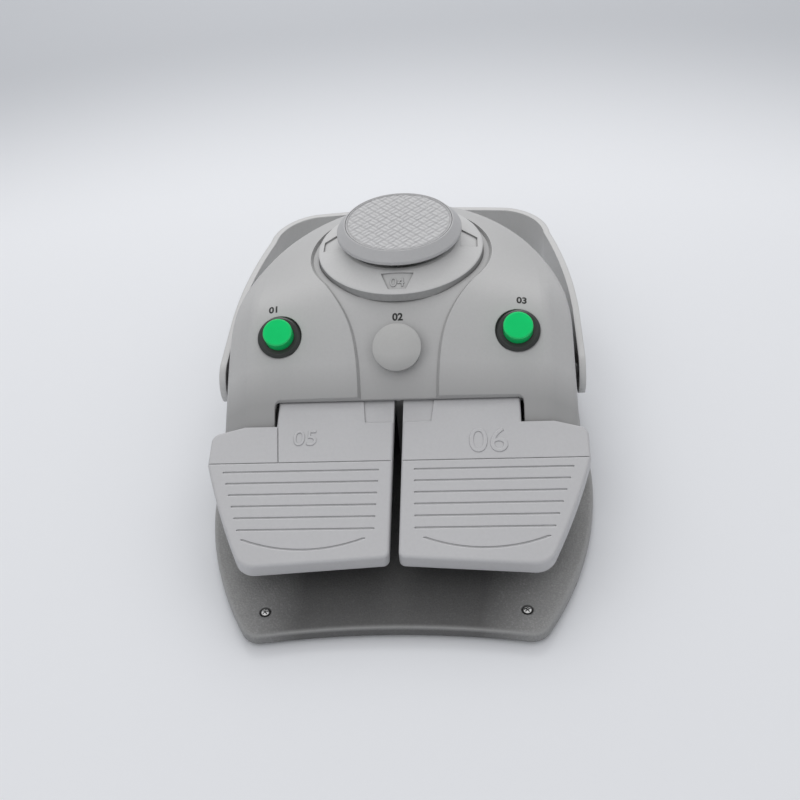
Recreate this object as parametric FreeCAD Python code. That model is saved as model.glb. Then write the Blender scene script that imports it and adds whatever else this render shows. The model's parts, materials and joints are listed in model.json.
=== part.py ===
import FreeCAD, Part
import math
import os

# Dental foot switch, in millimetres.
# X runs across, Y runs from the pedals to the rear, Z is up from the floor.
# Places along Y are measured from the front tips of the base. When a piece is
# written out it is moved back by half the overall length, so that the origin
# lies on the floor under the middle of the whole object.

V = FreeCAD.Vector
ACROSS = V(1, 0, 0)
ALONG = V(0, 1, 0)
UP = V(0, 0, 1)

# Base moulding and the steel plate under it
foot_height = 2.6
foot_radius = 9.0
foot_spigot_radius = 3.0
base_top = 9.0
base_deck = 3.0
base_wall = 2.6
base_lip_radius = 2.4
base_margin = 3.0
base_tip_half = 74.2
base_tip_nose = 0.9
base_tip_radius = 10.8
base_front_hollow = 5.0
base_flare_half = 107.5
base_flare_y = 112.0
base_waist_y = 150.0
steel_thickness = 1.5
plate_gap = 0.3

# Housing: plan outline, walls and the ridge of its crowned top
housing_half = 101.5
housing_rear = 298.5
rear_radius = 83.4
side_radius = 150.0
housing_wall = 2.5
wall_lean = 0.044
cheek_front = 103.0
cheek_depth = 16.0
hood_front = 125.8
hood_front_height = 58.5
button_line_height = 80.5
crown_height = 101.5
rear_rim_height = 80.0
crease_half = 84.0
crease_blend = 3.0
crown_reach = 118.0
rim_radius = 6.0
notch_radius = 3.0
keyhole_depth = 1.8
keyhole_step = 1.2
hood_gap = 1.0
keyhole_radius = 53.0
keyhole_mouth_half = 21.5

# Press disc, its skirt and its carrier
disc_y = 217.7
disc_radius = 36.8
disc_pad_radius = 31.6
disc_top = 115.2
disc_edge_top = 110.8
disc_rim = 2.2
disc_wall = 2.6
disc_travel = 4.0
pad_thickness = 1.4
skirt_radius = 49.0
skirt_edge_height = 97.8
skirt_seat = 92.6
skirt_top = 103.6
skirt_top_radius = 34.5
skirt_wall = 2.6
window_depth = 1.1
window_inner = 35.6
window_outer = 45.8
window_inner_half = 9.4
window_outer_half = 5.0
seat_web = 3.0
disc_stem_radius = 4.0
disc_stem_length = 44.0
disc_bush_radius = 9.0
disc_flange_radius = 14.0
disc_bush_length = 22.0
stem_spigot = 2.4
stem_spigot_length = 6.0
clip_thickness = 1.2
disc_boss_radius = 8.0
disc_boss_length = 7.0
disc_spring_radius = 10.9
disc_spring_wire = 1.6
disc_nut_half = 13.4
disc_nut_height = 5.0
disc_switch_radius = 13.0
disc_switch_height = 8.0
switch_wall_pocket = 0.9
tab_half = 2.3
tab_thickness = 0.8
tab_length = 6.0
tab_spread = 5.0

# Pedals and their hinge
pedal_tilt = 13.5
pedal_fold_y = 87.8
pedal_fold_height = 45.4
pedal_gap = 5.0
pedal_width = 101.0
pedal_front_inner = 31.5
pedal_front_outer = 26.4
pedal_front_half = 79.5
pedal_front_reach = 8.2
pedal_shoulder_y = 112.0
pedal_shoulder_drop = 5.2
pedal_shoulder_run = 18.0
pedal_shoulder_reach = 4.2
tongue_half = 67.6
tongue_rear = 133.0
pedal_skin = 3.0
pedal_rim = 7.2
pedal_rim_wall = 2.5
pedal_edge_radius = 1.6
pedal_corner = 3.4
seam_width = 0.8
groove_count = 6
groove_pitch = 6.95
groove_first_y = 82.3
groove_width = 1.1
groove_depth = 0.5
pedal_travel = 6.0
hinge_y = 137.0
hinge_height = 46.5
hinge_radius = 3.0
hinge_clearance = 0.05
pedal_clear = 1.5
heel_reach = 15.0
lug_radius = 6.0
lug_width = 8.0
post_width = 5.0
post_radius = 6.2
heel_drop = 5.6
heel_thickness = 4.4
bumper_thickness = 2.6
bumper_half = 3.8
bumper_depth_half = 3.0
notch_clearance = 2.0
pedal_spring_radius = 5.9
pedal_spring_wire = 1.4
spring_stub_gap = 0.8
spring_seat_margin = 2.1
rib_thickness = 1.8
micro_switch_half = 10.0
micro_switch_depth_half = 3.2
micro_switch_height = 10.0
micro_switch_margin = 0.4
plunger_radius = 1.6

# Push buttons and the middle knob
button_inset = 34.1
button_y = 154.3
button_tilt = 31.0
bezel_radius = 12.5
bezel_height = 2.2
cap_radius = 8.35
cap_stand = 6.4
button_travel = 3.0
barrel_radius = 10.9
barrel_length = 19.0
knob_y = 146.2
knob_tilt = 38.0
knob_radius = 13.6
knob_dome = 2.6
knob_rim = 2.6
knob_crown_wall = 1.6
knob_ceiling = 0.7
knob_seat_depth = 0.6
knob_stand = 5.4
knob_travel = 4.0
knob_stem_radius = 3.0
knob_stem_length = 27.0
knob_bush_radius = 6.5
knob_bush_length = 15.0
knob_spigot = 1.9
knob_flange = 1.4
knob_flange_radius = 9.4
knob_bush_pocket = 6.0
knob_nut_half = 9.2
knob_switch_radius = 10.0
knob_switch_height = 7.0
panel_sink = 0.9
panel_pad = 3.2
panel_nut_height = 3.4
button_nut_half = 13.6
nut_clearance = 16.2
barrel_floor = 4.0
cap_depth = 5.2
cap_wall = 1.75
spring_radius = 4.2
spring_wire = 0.9
spring_bore_gap = 0.55

# Carrying handle
handle_pivot_y = 157.0
handle_pivot_height = 47.5
handle_low = 35.0
handle_high = 60.0
handle_thickness = 3.8
handle_side_gap = 1.3
handle_rear = 325.0
handle_rear_half = 66.0
handle_corner_half = 93.0
handle_corner_y = 288.0
handle_end_radius = 12.5
pivot_radius = 3.0
pivot_thread = 2.2
pivot_head_radius = 5.5
pivot_head_sink = 1.7
washer_radius = 5.0

# Cable inlet, board and fasteners
inlet_height = 26.0
inlet_bore = 3.5
grommet_radius = 9.5
grommet_neck = 6.0
board_width = 62.0
board_depth = 34.0
board_y = 258.0
board_thickness = 1.6
board_height = 16.0
screw_radius = 1.5
screw_head_radius = 3.1
front_screw_half = 67.0
front_screw_y = 15.0
front_screw_radius = 1.25
front_screw_head = 2.3
front_screw_sink = 0.8
front_screw_margin = 0.8
board_screw_radius = 1.25
skirt_screw_radius = 1.25
skirt_screw_angles = (90.0, 210.0, 330.0)
boss_radius = 5.0
boss_height = 19.0
fit = 0.05
gap = 0.3
seat_gap = 0.02

overall_length = handle_rear
tilt = math.radians(pedal_tilt)


def pedal_top(y):
    """Height of the pedal's top plane over a place along Y."""
    return pedal_fold_height + (y - pedal_fold_y) * math.tan(tilt)


# Places that follow from the values above
inner_lug_x = pedal_gap / 2.0 + 3.0
outer_lug_x = tongue_half - lug_width - 2.0
button_half = housing_half - button_inset
spring_x = pedal_width * 0.34
spring_y = hinge_y - 36.0
spring_seat = pedal_top(spring_y) - pedal_skin - 3.0
switch_x = pedal_width * 0.5
switch_y = hinge_y - 28.0
actuator_low = pedal_top(switch_y) - pedal_skin - 3.2
plunger_top = actuator_low - (hinge_y - switch_y) * math.sin(math.radians(pedal_travel)) - 0.5
switch_high = plunger_top - 2.0
switch_low = switch_high - micro_switch_height
heel_low = hinge_height - heel_drop
spring_stub_radius = pedal_spring_radius - pedal_spring_wire / 2.0 - spring_stub_gap
spring_bore = spring_radius + spring_wire / 2.0 + spring_bore_gap
shaft_clip_x = tongue_half + notch_clearance + post_width + 1.0
disc_under = disc_top - pad_thickness - disc_wall
disc_boss_low = disc_under - disc_boss_length
disc_flange_top = skirt_seat + 2.0
bush_low = skirt_seat - disc_bush_length
stem_low = disc_boss_low - disc_stem_length
knob_clip_high = -knob_bush_length - gap
knob_hub = knob_rim + knob_dome - knob_crown_wall
knob_spigot_length = knob_hub - knob_seat_depth - 0.1
pivot_seat = housing_half - (handle_pivot_height - base_top) * wall_lean - 0.6
arm_inner = housing_half - (handle_low - base_top) * wall_lean + handle_side_gap
arm_outer = arm_inner + handle_thickness
stop_y = handle_pivot_y + 32.0
stop_z = handle_low - gap - 3.0
stop_reach = arm_outer - 0.8
inlet_inner = housing_rear - 6.0
inlet_outer = housing_rear - 1.8


# Small builders

def cylinder(radius, low, high, x=0.0, y=0.0):
    return Part.makeCylinder(radius, high - low, V(x, y, low), UP)


def rod(radius, start, end):
    step = end - start
    return Part.makeCylinder(radius, step.Length, start, step)


def tube(outer, inner, low, high, x=0.0, y=0.0):
    return cylinder(outer, low, high, x, y).cut(cylinder(inner, low - 1, high + 1, x, y))


def block(x0, x1, y0, y1, z0, z1):
    return Part.makeBox(x1 - x0, y1 - y0, z1 - z0, V(x0, y0, z0))


def line(a, b):
    return Part.LineSegment(a, b).toShape()


def arc(a, b, c):
    return Part.Arc(a, b, c).toShape()


def turned(points):
    """A solid of revolution about Z, from (radius, height) points."""
    corners = [V(r, 0, z) for r, z in points]
    face = Part.Face(Part.makePolygon(corners + corners[:1]))
    return face.revolve(V(0, 0, 0), UP, 360)


def prism(wire, low, high):
    face = Part.Face(wire)
    face.translate(V(0, 0, low - face.BoundBox.ZMin))
    return face.extrude(V(0, 0, high - low))


def polygon_prism(points, low, high):
    corners = [V(x, y, low) for x, y in points]
    return Part.Face(Part.makePolygon(corners + corners[:1])).extrude(V(0, 0, high - low))


def mirrored(shape):
    return shape.mirror(V(0, 0, 0), ACROSS)


def leaned(shape, point, degrees):
    """Stands a piece built on Z at a point, leaning its top to the front."""
    copy = shape.copy()
    copy.rotate(V(0, 0, 0), ACROSS, degrees)
    copy.translate(point)
    return copy


def helix_spring(radius, wire, low, high, turns):
    """One unbroken round wire, on arcs of a quarter turn, with a rising pitch."""
    steps = 4 * turns
    rise = (high - low - wire) / steps
    start = low + wire / 2.0
    edges = []
    for i in range(steps):
        a0 = math.pi / 2 * i
        mid = a0 + math.pi / 4
        a1 = a0 + math.pi / 2
        p0 = V(radius * math.cos(a0), radius * math.sin(a0), start + rise * i)
        p1 = V(radius * math.cos(mid), radius * math.sin(mid), start + rise * (i + 0.5))
        p2 = V(radius * math.cos(a1), radius * math.sin(a1), start + rise * (i + 1))
        edges.append(arc(p0, p1, p2))
    path = Part.Wire(edges)
    print("spring gap to itself, mm:", round(coil_gap(path, steps) - wire, 2))
    heading = edges[0].tangentAt(edges[0].FirstParameter)
    section = Part.Wire(Part.makeCircle(wire / 2.0, V(radius, 0, start), heading))
    return path.makePipeShell([section], True, False)


def coil_gap(path, steps):
    """Smallest distance between points of one coil and points of the next."""
    points = path.discretize(steps * 6 + 1)
    return min(points[i].distanceToPoint(points[j]) for i in range(len(points))
               for j in range(i + 18, min(i + 31, len(points))))


# Outlines

def horseshoe(inset, front, height):
    """Two straight sides, two side arcs and one rear arc, tangent to each other."""
    half = housing_half - inset
    rear_r = rear_radius - inset
    rear_c = V(0, housing_rear - rear_radius, height)
    side_x = housing_half - side_radius
    reach = side_radius - rear_radius
    side_y = rear_c.y - math.sqrt(reach ** 2 - side_x ** 2)
    toward = (rear_c - V(side_x, side_y, height)).normalize()
    join = rear_c + toward * rear_r
    bend = math.atan2(toward.y, toward.x) / 2.0
    side_mid = V(side_x, side_y, height) + V(math.cos(bend), math.sin(bend), 0) * (side_radius - inset)
    right = V(half, side_y, height)
    flip = lambda p: V(-p.x, p.y, p.z)
    corner = V(half, front, height)
    return Part.Wire([
        line(flip(corner), corner),
        line(corner, right),
        arc(right, side_mid, join),
        arc(join, V(0, rear_c.y + rear_r, height), flip(join)),
        arc(flip(join), flip(side_mid), flip(right)),
        line(flip(right), flip(corner)),
    ])


def heading_arc(start, end):
    """An arc between two points of the plan that runs along Y where it ends."""
    chord = end - start
    radius = (chord.x ** 2 + chord.y ** 2) / (2 * chord.x)
    centre = V(end.x - radius, end.y, end.z)
    outward = ((start + end) * 0.5 - centre).normalize()
    return arc(start, centre + outward * abs(radius), end)


def base_outline(inset, height):
    """Hollow front edge, flared sides that swing in again, then the housing's own outline."""
    rear_edges = horseshoe(inset - base_margin, base_waist_y, height).OrderedEdges[1:]
    tip = V(base_tip_half - inset * 0.6, inset - base_tip_nose, height)
    hollow = V(0, base_front_hollow + inset, height)
    flare = V(base_flare_half - inset, base_flare_y, height)
    waist = V(housing_half + base_margin - inset, base_waist_y, height)
    halfway = (flare + waist) * 0.5
    right = [heading_arc(tip, flare), heading_arc(halfway, flare), heading_arc(halfway, waist)]
    left = [mirrored(edge) for edge in right]
    front = arc(V(-tip.x, tip.y, tip.z), hollow, tip)
    return Part.Wire(Part.__sortEdges__([front] + right + rear_edges + left))


def base_slab(inset, low, high):
    """The base outline as a slab, with its two front tips rounded."""
    slab = prism(base_outline(inset, 0), low, high)
    tips = [e for e in slab.Edges if e.BoundBox.ZLength > 0.1 and e.CenterOfMass.y < inset + 1.0]
    return slab.makeFillet(base_tip_radius - inset, tips)


# Housing

def ridge_stations():
    """Front to rear: place, height of the ridge, radius of the crown across it, height at the side wall."""
    front = hood_front
    rear = housing_rear
    brow = button_line_height + 2.7
    return [
        (front - 27.8, hood_front_height - 23.5, 3400.0, 25.0),
        (front - 13.8, hood_front_height - 11.5, 3200.0, 37.0),
        (front, hood_front_height, 3000.0, 47.5),
        (button_y, brow, 800.0, 67.0),
        (disc_y - skirt_radius + 3.0, skirt_seat + 1.6, 480.0, 74.0),
        (disc_y - 20.0, crown_height - 1.3, 236.0, 76.5),
        (disc_y + 15.0, crown_height - 0.5, 172.0, 73.0),
        (rear - 43.5, crown_height - 3.9, 152.0, 66.0),
        (rear - 23.5, rear_rim_height + 11.8, 127.0, 56.0),
        (rear - 6.5, rear_rim_height + 2.8, 104.0, 44.0),
        (rear + 13.5, rear_rim_height - 12.0, 92.0, 24.0),
    ]


def crown_section(y, ridge, radius, rim, drop):
    """One section across the top: crown arc, a blend at each crease, then a band down to the side wall."""
    start_x = crease_half - crease_blend
    lean = math.asin(start_x / radius)
    slope = V(math.cos(lean), 0, -math.sin(lean))
    start = V(start_x, y, ridge - drop - radius + radius * math.cos(lean))
    knee = start + slope * crease_blend
    away = (V(housing_half - 3.0, y, rim - drop) - knee).normalize()
    end = knee + away * crease_blend
    turn = away.getAngle(slope) / 2.0
    middle = knee + ((start + end) * 0.5 - knee) * (1.0 / (1.0 + math.cos(turn)))
    edge = end + away * ((crown_reach - end.x) / away.x)
    bottom = V(crown_reach, y, -40.0)
    flip = lambda p: V(-p.x, p.y, p.z)
    return Part.Wire([
        line(flip(bottom), flip(edge)), line(flip(edge), flip(end)), arc(flip(end), flip(middle), flip(start)),
        arc(flip(start), V(0, y, ridge - drop), start), arc(start, middle, end), line(end, edge),
        line(edge, bottom), line(bottom, flip(bottom)),
    ])


def crown(drop):
    return Part.makeLoft([crown_section(*station, drop) for station in ridge_stations()], True, False)


def leaning_walls(inset, front, low, high):
    foot = horseshoe(inset + (low - base_top) * wall_lean, front, low)
    head = horseshoe(inset + (high - base_top) * wall_lean, front, high)
    return Part.makeLoft([foot, head], True, True)


def keyhole(grow):
    """Round moat about the skirt, narrowing to a channel that opens at the front edge."""
    start = math.radians(-38.0)
    radius = keyhole_radius + grow
    half = keyhole_mouth_half + grow
    neck = disc_y - skirt_radius
    join = V(radius * math.cos(start), disc_y + radius * math.sin(start), 0)
    mouth = V(half, cheek_front, 0)
    flank = Part.BSplineCurve()
    flank.interpolate([mouth, V(half + 0.4, neck - 32.2, 0), V(half + 4.4, neck - 12.2, 0),
                       V(half + 12.4, neck + 3.0, 0), join])
    right = flank.toShape()
    left = mirrored(right)
    flip = lambda p: V(-p.x, p.y, p.z)
    round_part = arc(join, V(0, disc_y + radius, 0), flip(join))
    front = line(flip(mouth), mouth)
    return Part.Wire(Part.__sortEdges__([front, right, round_part, left]))


def keyhole_recess():
    """What the keyhole takes off the crown, with an edge that goes down in three small steps."""
    tools = []
    for step in (0, 1, 2):
        reach = prism(keyhole(keyhole_step * step / 2.0), 0, 140)
        tools.append(reach.cut(crown(keyhole_depth * (3 - step) / 3.0)))
    return tools[0].fuse(tools[1:])


def height_on(shape, x, y):
    """Height of the upper surface of a shape above a point of the plan."""
    return shape.common(line(V(x, y, -20), V(x, y, 200))).BoundBox.ZMax


def along_rear(inset, degrees):
    """A point inside the rear arc of the housing, at an angle from straight back."""
    angle = math.radians(degrees)
    reach = rear_radius - inset
    return reach * math.sin(angle), housing_rear - rear_radius + reach * math.cos(angle)


def screw_places():
    """Housing screws on the right half: behind the cheek, at the side and near the rear."""
    return [(housing_half - 15.0, cheek_front + cheek_depth + 3.0), (housing_half - 8.2, disc_y - 27.0),
            along_rear(6.9, 36.0)]


def both_sides(places):
    return [(side * x, y) for x, y in places for side in (-1, 1)]


# Pedal outline and its slab

def rounding(before, corner, after, reach):
    """Start, middle and end of the arc that rounds a corner of the plan."""
    start = corner + (before - corner).normalize() * reach
    end = corner + (after - corner).normalize() * reach
    half_turn = (math.pi - (before - corner).getAngle(after - corner)) / 2.0
    middle = corner + ((start + end) * 0.5 - corner) * (1.0 / (1.0 + math.cos(half_turn)))
    return start, middle, end


def pedal_outline(grow):
    """Right pedal in plan: treadle, flared outer edge, shoulder and rear tongue."""
    inner = pedal_gap / 2.0 - grow
    outer = pedal_gap / 2.0 + pedal_width + grow
    tongue_side = tongue_half + grow
    tongue_end = tongue_rear + grow
    rear_inner = V(inner, tongue_end, 0)
    front_inner = V(inner, pedal_front_inner - grow, 0)
    front_outer = V(pedal_front_half + grow, pedal_front_outer - grow, 0)
    widest = V(outer, pedal_fold_y, 0)
    shoulder = V(outer, pedal_shoulder_y - pedal_shoulder_drop + grow, 0)
    shoulder_inner = V(outer - pedal_shoulder_run, pedal_shoulder_y + grow, 0)
    tongue_foot = V(tongue_side, pedal_shoulder_y + grow, 0)
    tongue_corner = V(tongue_side, tongue_end, 0)
    inner_turn = rounding(rear_inner, front_inner, front_outer, pedal_corner)
    outer_turn = rounding(front_inner, front_outer, widest, pedal_front_reach)
    shoulder_turn = rounding(widest, shoulder, shoulder_inner, pedal_shoulder_reach)
    side_mid = (outer_turn[2] + widest) * 0.5 + V(1.1, -0.4, 0)
    return Part.Wire([
        arc(*inner_turn),
        line(inner_turn[2], outer_turn[0]),
        arc(*outer_turn),
        arc(outer_turn[2], side_mid, widest),
        line(widest, shoulder_turn[0]),
        arc(*shoulder_turn),
        line(shoulder_turn[2], shoulder_inner),
        line(shoulder_inner, tongue_foot),
        line(tongue_foot, tongue_corner),
        line(tongue_corner, rear_inner),
        line(rear_inner, inner_turn[0]),
    ])


def slope_block(top_drop, bottom_drop):
    """Everything between two planes parallel to the pedal's top."""
    reach = 260.0
    slab = block(-reach, reach, -reach, reach, -bottom_drop, -top_drop)
    slab.rotate(V(0, 0, 0), ACROSS, pedal_tilt)
    slab.translate(V(0, pedal_fold_y, pedal_fold_height))
    return slab


def groove(x0, x1, y):
    """One straight round-ended groove for the shoe's grip."""
    half = groove_width / 2.0
    middle = block(x0, x1, y - half, y + half, 0, 90)
    ends = [cylinder(half, 0, 90, x0, y), cylinder(half, 0, 90, x1, y)]
    return middle.fuse(ends)


def pedal_grooves():
    """Straight grooves that shorten to the front, one bowed groove and the fold line."""
    half = groove_width / 2.0
    outer = pedal_gap / 2.0 + pedal_width
    tools = []
    for i in range(groove_count):
        y = groove_first_y - i * groove_pitch
        tools.append(groove(pedal_gap / 2.0 + 7.4 + 0.2 * i, outer - 9.6 - 2.3 * i, y))
    last = groove_first_y - (groove_count - 1) * groove_pitch
    bow_half = 32.5
    bow_sag = 6.4
    bow_radius = (bow_half ** 2 + bow_sag ** 2) / (2 * bow_sag)
    centre = V((pedal_gap + pedal_width) / 2.0 - 5.5, last - 5.2 - bow_sag + bow_radius, 0)
    band = tube(bow_radius + half, bow_radius - half, 0, 90, centre.x, centre.y)
    sector = block(centre.x - bow_half, centre.x + bow_half, centre.y - bow_radius - 3,
                   centre.y - bow_radius + bow_sag, 0, 90)
    tools.append(band.common(sector))
    fold = block(pedal_gap / 2.0 - 1, outer + 1, pedal_fold_y - 0.3, pedal_fold_y + 0.3, 0, 90)
    tools.append(fold)
    return Part.makeCompound(tools)


def lug(x0):
    """Hinge lug under the rear of a pedal, from the tongue down to the shaft."""
    barrel = rod(lug_radius, V(x0, hinge_y, hinge_height), V(x0 + lug_width, hinge_y, hinge_height))
    high = pedal_top(tongue_rear) - pedal_skin * 0.6
    web = Part.Face(Part.makePolygon([
        V(x0, tongue_rear - 12, pedal_top(tongue_rear - 12) - pedal_skin * 0.6),
        V(x0, tongue_rear, high),
        V(x0, hinge_y + lug_radius * 0.8, hinge_height + lug_radius * 0.6),
        V(x0, hinge_y, hinge_height - lug_radius),
        V(x0, tongue_rear - 12, pedal_top(tongue_rear - 12) - pedal_skin * 0.6)]))
    return barrel.fuse(web.extrude(V(lug_width, 0, 0)))


def right_pedal():
    plan = prism(pedal_outline(0), -20, 120)
    body = plan.common(slope_block(0, pedal_rim))
    top_edges = [e for e in body.Edges if on_pedal_top(e)]
    body = body.makeFillet(pedal_edge_radius, top_edges)
    hollow = prism(pedal_outline(-pedal_rim_wall), -20, 120).common(slope_block(pedal_skin, pedal_rim + 5))
    body = body.cut(hollow)
    half = rib_thickness / 2.0
    ribs = [block(pedal_gap / 2.0 + 1, pedal_gap / 2.0 + pedal_width - 8, y - half, y + half, 0, 90)
            for y in (pedal_fold_y - 42, pedal_fold_y - 20)]
    beside = spring_x - pedal_spring_radius - spring_seat_margin - 5.2
    ribs.append(block(beside - rib_thickness, beside, pedal_front_inner + 1, tongue_rear - 30, 0, 90))
    ribs.append(block(outer_lug_x - rib_thickness, outer_lug_x, pedal_front_inner + 1, tongue_rear - 1, 0, 90))
    rib_zone = prism(pedal_outline(-1.0), -20, 120).common(slope_block(pedal_skin * 0.5, pedal_rim - 1.0))
    body = body.fuse([rib.common(rib_zone) for rib in ribs])
    lugs = [lug(inner_lug_x), lug(outer_lug_x)]
    heel_high = heel_low + heel_thickness
    heel = block(outer_lug_x, outer_lug_x + lug_width, hinge_y, hinge_y + heel_reach, heel_low, heel_high)
    seat = cylinder(pedal_spring_radius + spring_seat_margin, spring_seat, 90, spring_x, spring_y)
    stub = cylinder(spring_stub_radius, spring_seat - 4.0, 90, spring_x, spring_y)
    actuator = cylinder(plunger_radius + 1.4, actuator_low, 90, switch_x, switch_y)
    under = slope_block(pedal_skin * 0.5, 60)
    body = body.fuse(lugs + [heel] + [piece.common(under) for piece in (seat, stub, actuator)])
    bore = rod(hinge_radius + hinge_clearance, V(-5, hinge_y, hinge_height), V(120, hinge_y, hinge_height))
    body = body.cut(bore)
    body = body.cut(pedal_grooves().common(slope_block(-5, groove_depth)))
    near = pedal_shoulder_y + 0.4
    corner = polygon_prism([(0, tongue_rear + 5), (keyhole_mouth_half - 0.6, tongue_rear + 5),
                            (keyhole_mouth_half - 3.2, near), (0, near)], 0, 90)
    body = body.cut(corner.common(slope_block(-5, 0.9)))
    return body.removeSplitter()


def left_pedal(right):
    """The other hand of the right pedal, with a moulding seam beside its tongue."""
    start = V(-tongue_half + 0.4, pedal_shoulder_y + 1.0, 0)
    end = V(-tongue_half + 3.0, pedal_fold_y, 0)
    side = V(seam_width / 2.0, 0, 0)
    corners = [start - side, start + side, end + side, end - side]
    seam = polygon_prism([(p.x, p.y) for p in corners], 0, 90)
    return mirrored(right).cut(seam.common(slope_block(-5, groove_depth)))


def on_pedal_top(edge):
    """True for an edge that lies in the pedal's top plane, away from the hidden tongue."""
    points = [v.Point for v in edge.Vertexes] + [edge.CenterOfMass]
    flat = all(abs(p.z - pedal_top(p.y)) < 0.01 for p in points)
    return flat and edge.CenterOfMass.y < tongue_rear - 0.5


# Base

def hinge_post(x0):
    """Upright that carries the hinge shaft, rounded at the top."""
    foot = block(x0, x0 + post_width, hinge_y - post_radius, hinge_y + post_radius, base_top - 1, hinge_height)
    head = rod(post_radius, V(x0, hinge_y, hinge_height), V(x0 + post_width, hinge_y, hinge_height))
    middle = x0 + post_width / 2
    rib = block(middle - 1, middle + 1, hinge_y + post_radius - 1, hinge_y + 20, base_top - 1, 24)
    return foot.fuse([head, rib])


def base_plate():
    body = base_slab(0, foot_height, base_top)
    rim = [e for e in body.Edges if all(abs(v.Z - base_top) < 1e-6 for v in e.Vertexes)
           and e.CenterOfMass.y < base_flare_y + 40]
    body = body.makeFillet(base_lip_radius, rim)
    body = body.cut(base_slab(base_wall, foot_height - 1, base_top - base_deck))
    low = foot_height + steel_thickness
    screws = both_sides(screw_places())
    front_screw_places = both_sides([(front_screw_half, front_screw_y)])
    bosses = [cylinder(4.6, low, base_top - base_deck + 0.5, x, y) for x, y in screws]
    bosses += [cylinder(3.4, low, base_top - base_deck + 0.5, x, y) for x, y in front_screw_places]
    outer_post = tongue_half + notch_clearance
    posts = [hinge_post(x) for x in (-post_width / 2, outer_post, -outer_post - post_width)]
    for side in (-1, 1):
        posts.append(cylinder(spring_stub_radius, base_top - 1, base_top + 5, side * spring_x, spring_y))
        x = side * switch_x
        half = micro_switch_half + micro_switch_margin
        deep = micro_switch_depth_half + micro_switch_margin
        posts.append(block(x - half, x + half, switch_y - deep, switch_y + deep, base_top - 1, switch_low))
        x = side * (outer_lug_x + lug_width / 2)
        y = hinge_y + heel_reach - bumper_depth_half - 0.5
        half = bumper_half + 0.8
        deep = bumper_depth_half + 1.0
        high = heel_low - gap - bumper_thickness
        posts.append(block(x - half, x + half, y - deep, y + deep, base_top - 1, high))
    for x, y in board_corners():
        posts.append(cylinder(3.4, base_top - 1, board_height, x, y))
    body = body.fuse(bosses + posts)
    holes = [cylinder(screw_radius + 0.2, 0, base_top + 1, x, y) for x, y in screws]
    sink = front_screw_head + front_screw_margin
    holes += [cylinder(front_screw_radius + 0.2, 0, base_top + 1, x, y) for x, y in front_screw_places]
    holes += [cylinder(sink, base_top - front_screw_sink, base_top + 1, x, y) for x, y in front_screw_places]
    bore = board_screw_radius + fit
    holes += [cylinder(bore, base_top + 1, board_height + 1, x, y) for x, y in board_corners()]
    axis = [V(side * 120, hinge_y, hinge_height) for side in (-1, 1)]
    holes.append(rod(hinge_radius + hinge_clearance, *axis))
    return body.cut(holes).removeSplitter()


def board_corners():
    half = board_width / 2 - 4
    deep = board_depth / 2 - 4
    return [(sx * half, board_y + sy * deep) for sx in (-1, 1) for sy in (-1, 1)]


def foot_places():
    return both_sides([(base_tip_half - 16, front_screw_y + 13), (rear_radius - 18, disc_y + 14)])


def bottom_plate():
    inset = base_wall + plate_gap
    body = base_slab(inset, foot_height, foot_height + steel_thickness)
    holes = [cylinder(screw_radius + 0.2, 0, 9, x, y) for x, y in both_sides(screw_places())]
    front_screw_places = both_sides([(front_screw_half, front_screw_y)])
    holes += [cylinder(front_screw_radius + fit, 0, 9, x, y) for x, y in front_screw_places]
    holes += [cylinder(foot_spigot_radius + fit, 0, 9, x, y) for x, y in foot_places()]
    return body.cut(holes)


def rubber_feet():
    top = foot_height + steel_thickness
    feet = []
    for x, y in foot_places():
        pad = turned([(0, 0), (foot_radius - 1, 0), (foot_radius, 1), (foot_radius, foot_height),
                      (foot_spigot_radius, foot_height), (foot_spigot_radius, top), (0, top)])
        pad.translate(V(x, y, 0))
        feet.append(pad)
    return Part.makeCompound(feet)


# Housing

def on_rim(edge):
    """True for an edge where the crown meets the leaning side and rear walls."""
    if edge.BoundBox.ZMin < 20:
        return False
    points = edge.discretize(5)
    return all(abs(outline_distance(p)) < 0.05 for p in points)


def outline_distance(p):
    outline = horseshoe((p.z - base_top) * wall_lean, cheek_front - 50, 0)
    return outline.distToShape(Part.Vertex(V(p.x, p.y, 0)))[0]


def housing_blanks():
    outer = leaning_walls(0, cheek_front, base_top, 130).common(crown(0))
    outer = outer.makeFillet(rim_radius, [e for e in outer.Edges if on_rim(e)])
    roof = housing_wall * 1.45
    inner = leaning_walls(housing_wall, cheek_front + cheek_depth, base_top - 5, 130).common(crown(roof))
    return outer, inner


def notch():
    """Opening over the two pedal tongues, with rounded rear corners."""
    half = tongue_half + notch_clearance
    cutter = block(-half, half, cheek_front - 20, hood_front, 0, 200)
    corners = [e for e in cutter.Edges if len(e.Vertexes) == 2
               and abs(e.Vertexes[0].Y - hood_front) < 1e-6 and abs(e.Vertexes[1].Y - hood_front) < 1e-6
               and abs(e.Vertexes[0].Z - e.Vertexes[1].Z) > 50]
    return cutter.makeFillet(notch_radius, corners)


def panel_seat(outer, x, y, lean):
    """Where a panel part sits: the point on the crown under its middle, sunk a little."""
    height = height_on(outer, x, y)
    return V(x, y, height) - normal(lean) * panel_sink


def normal(lean):
    angle = math.radians(lean)
    return V(0, -math.sin(angle), math.cos(angle))


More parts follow.
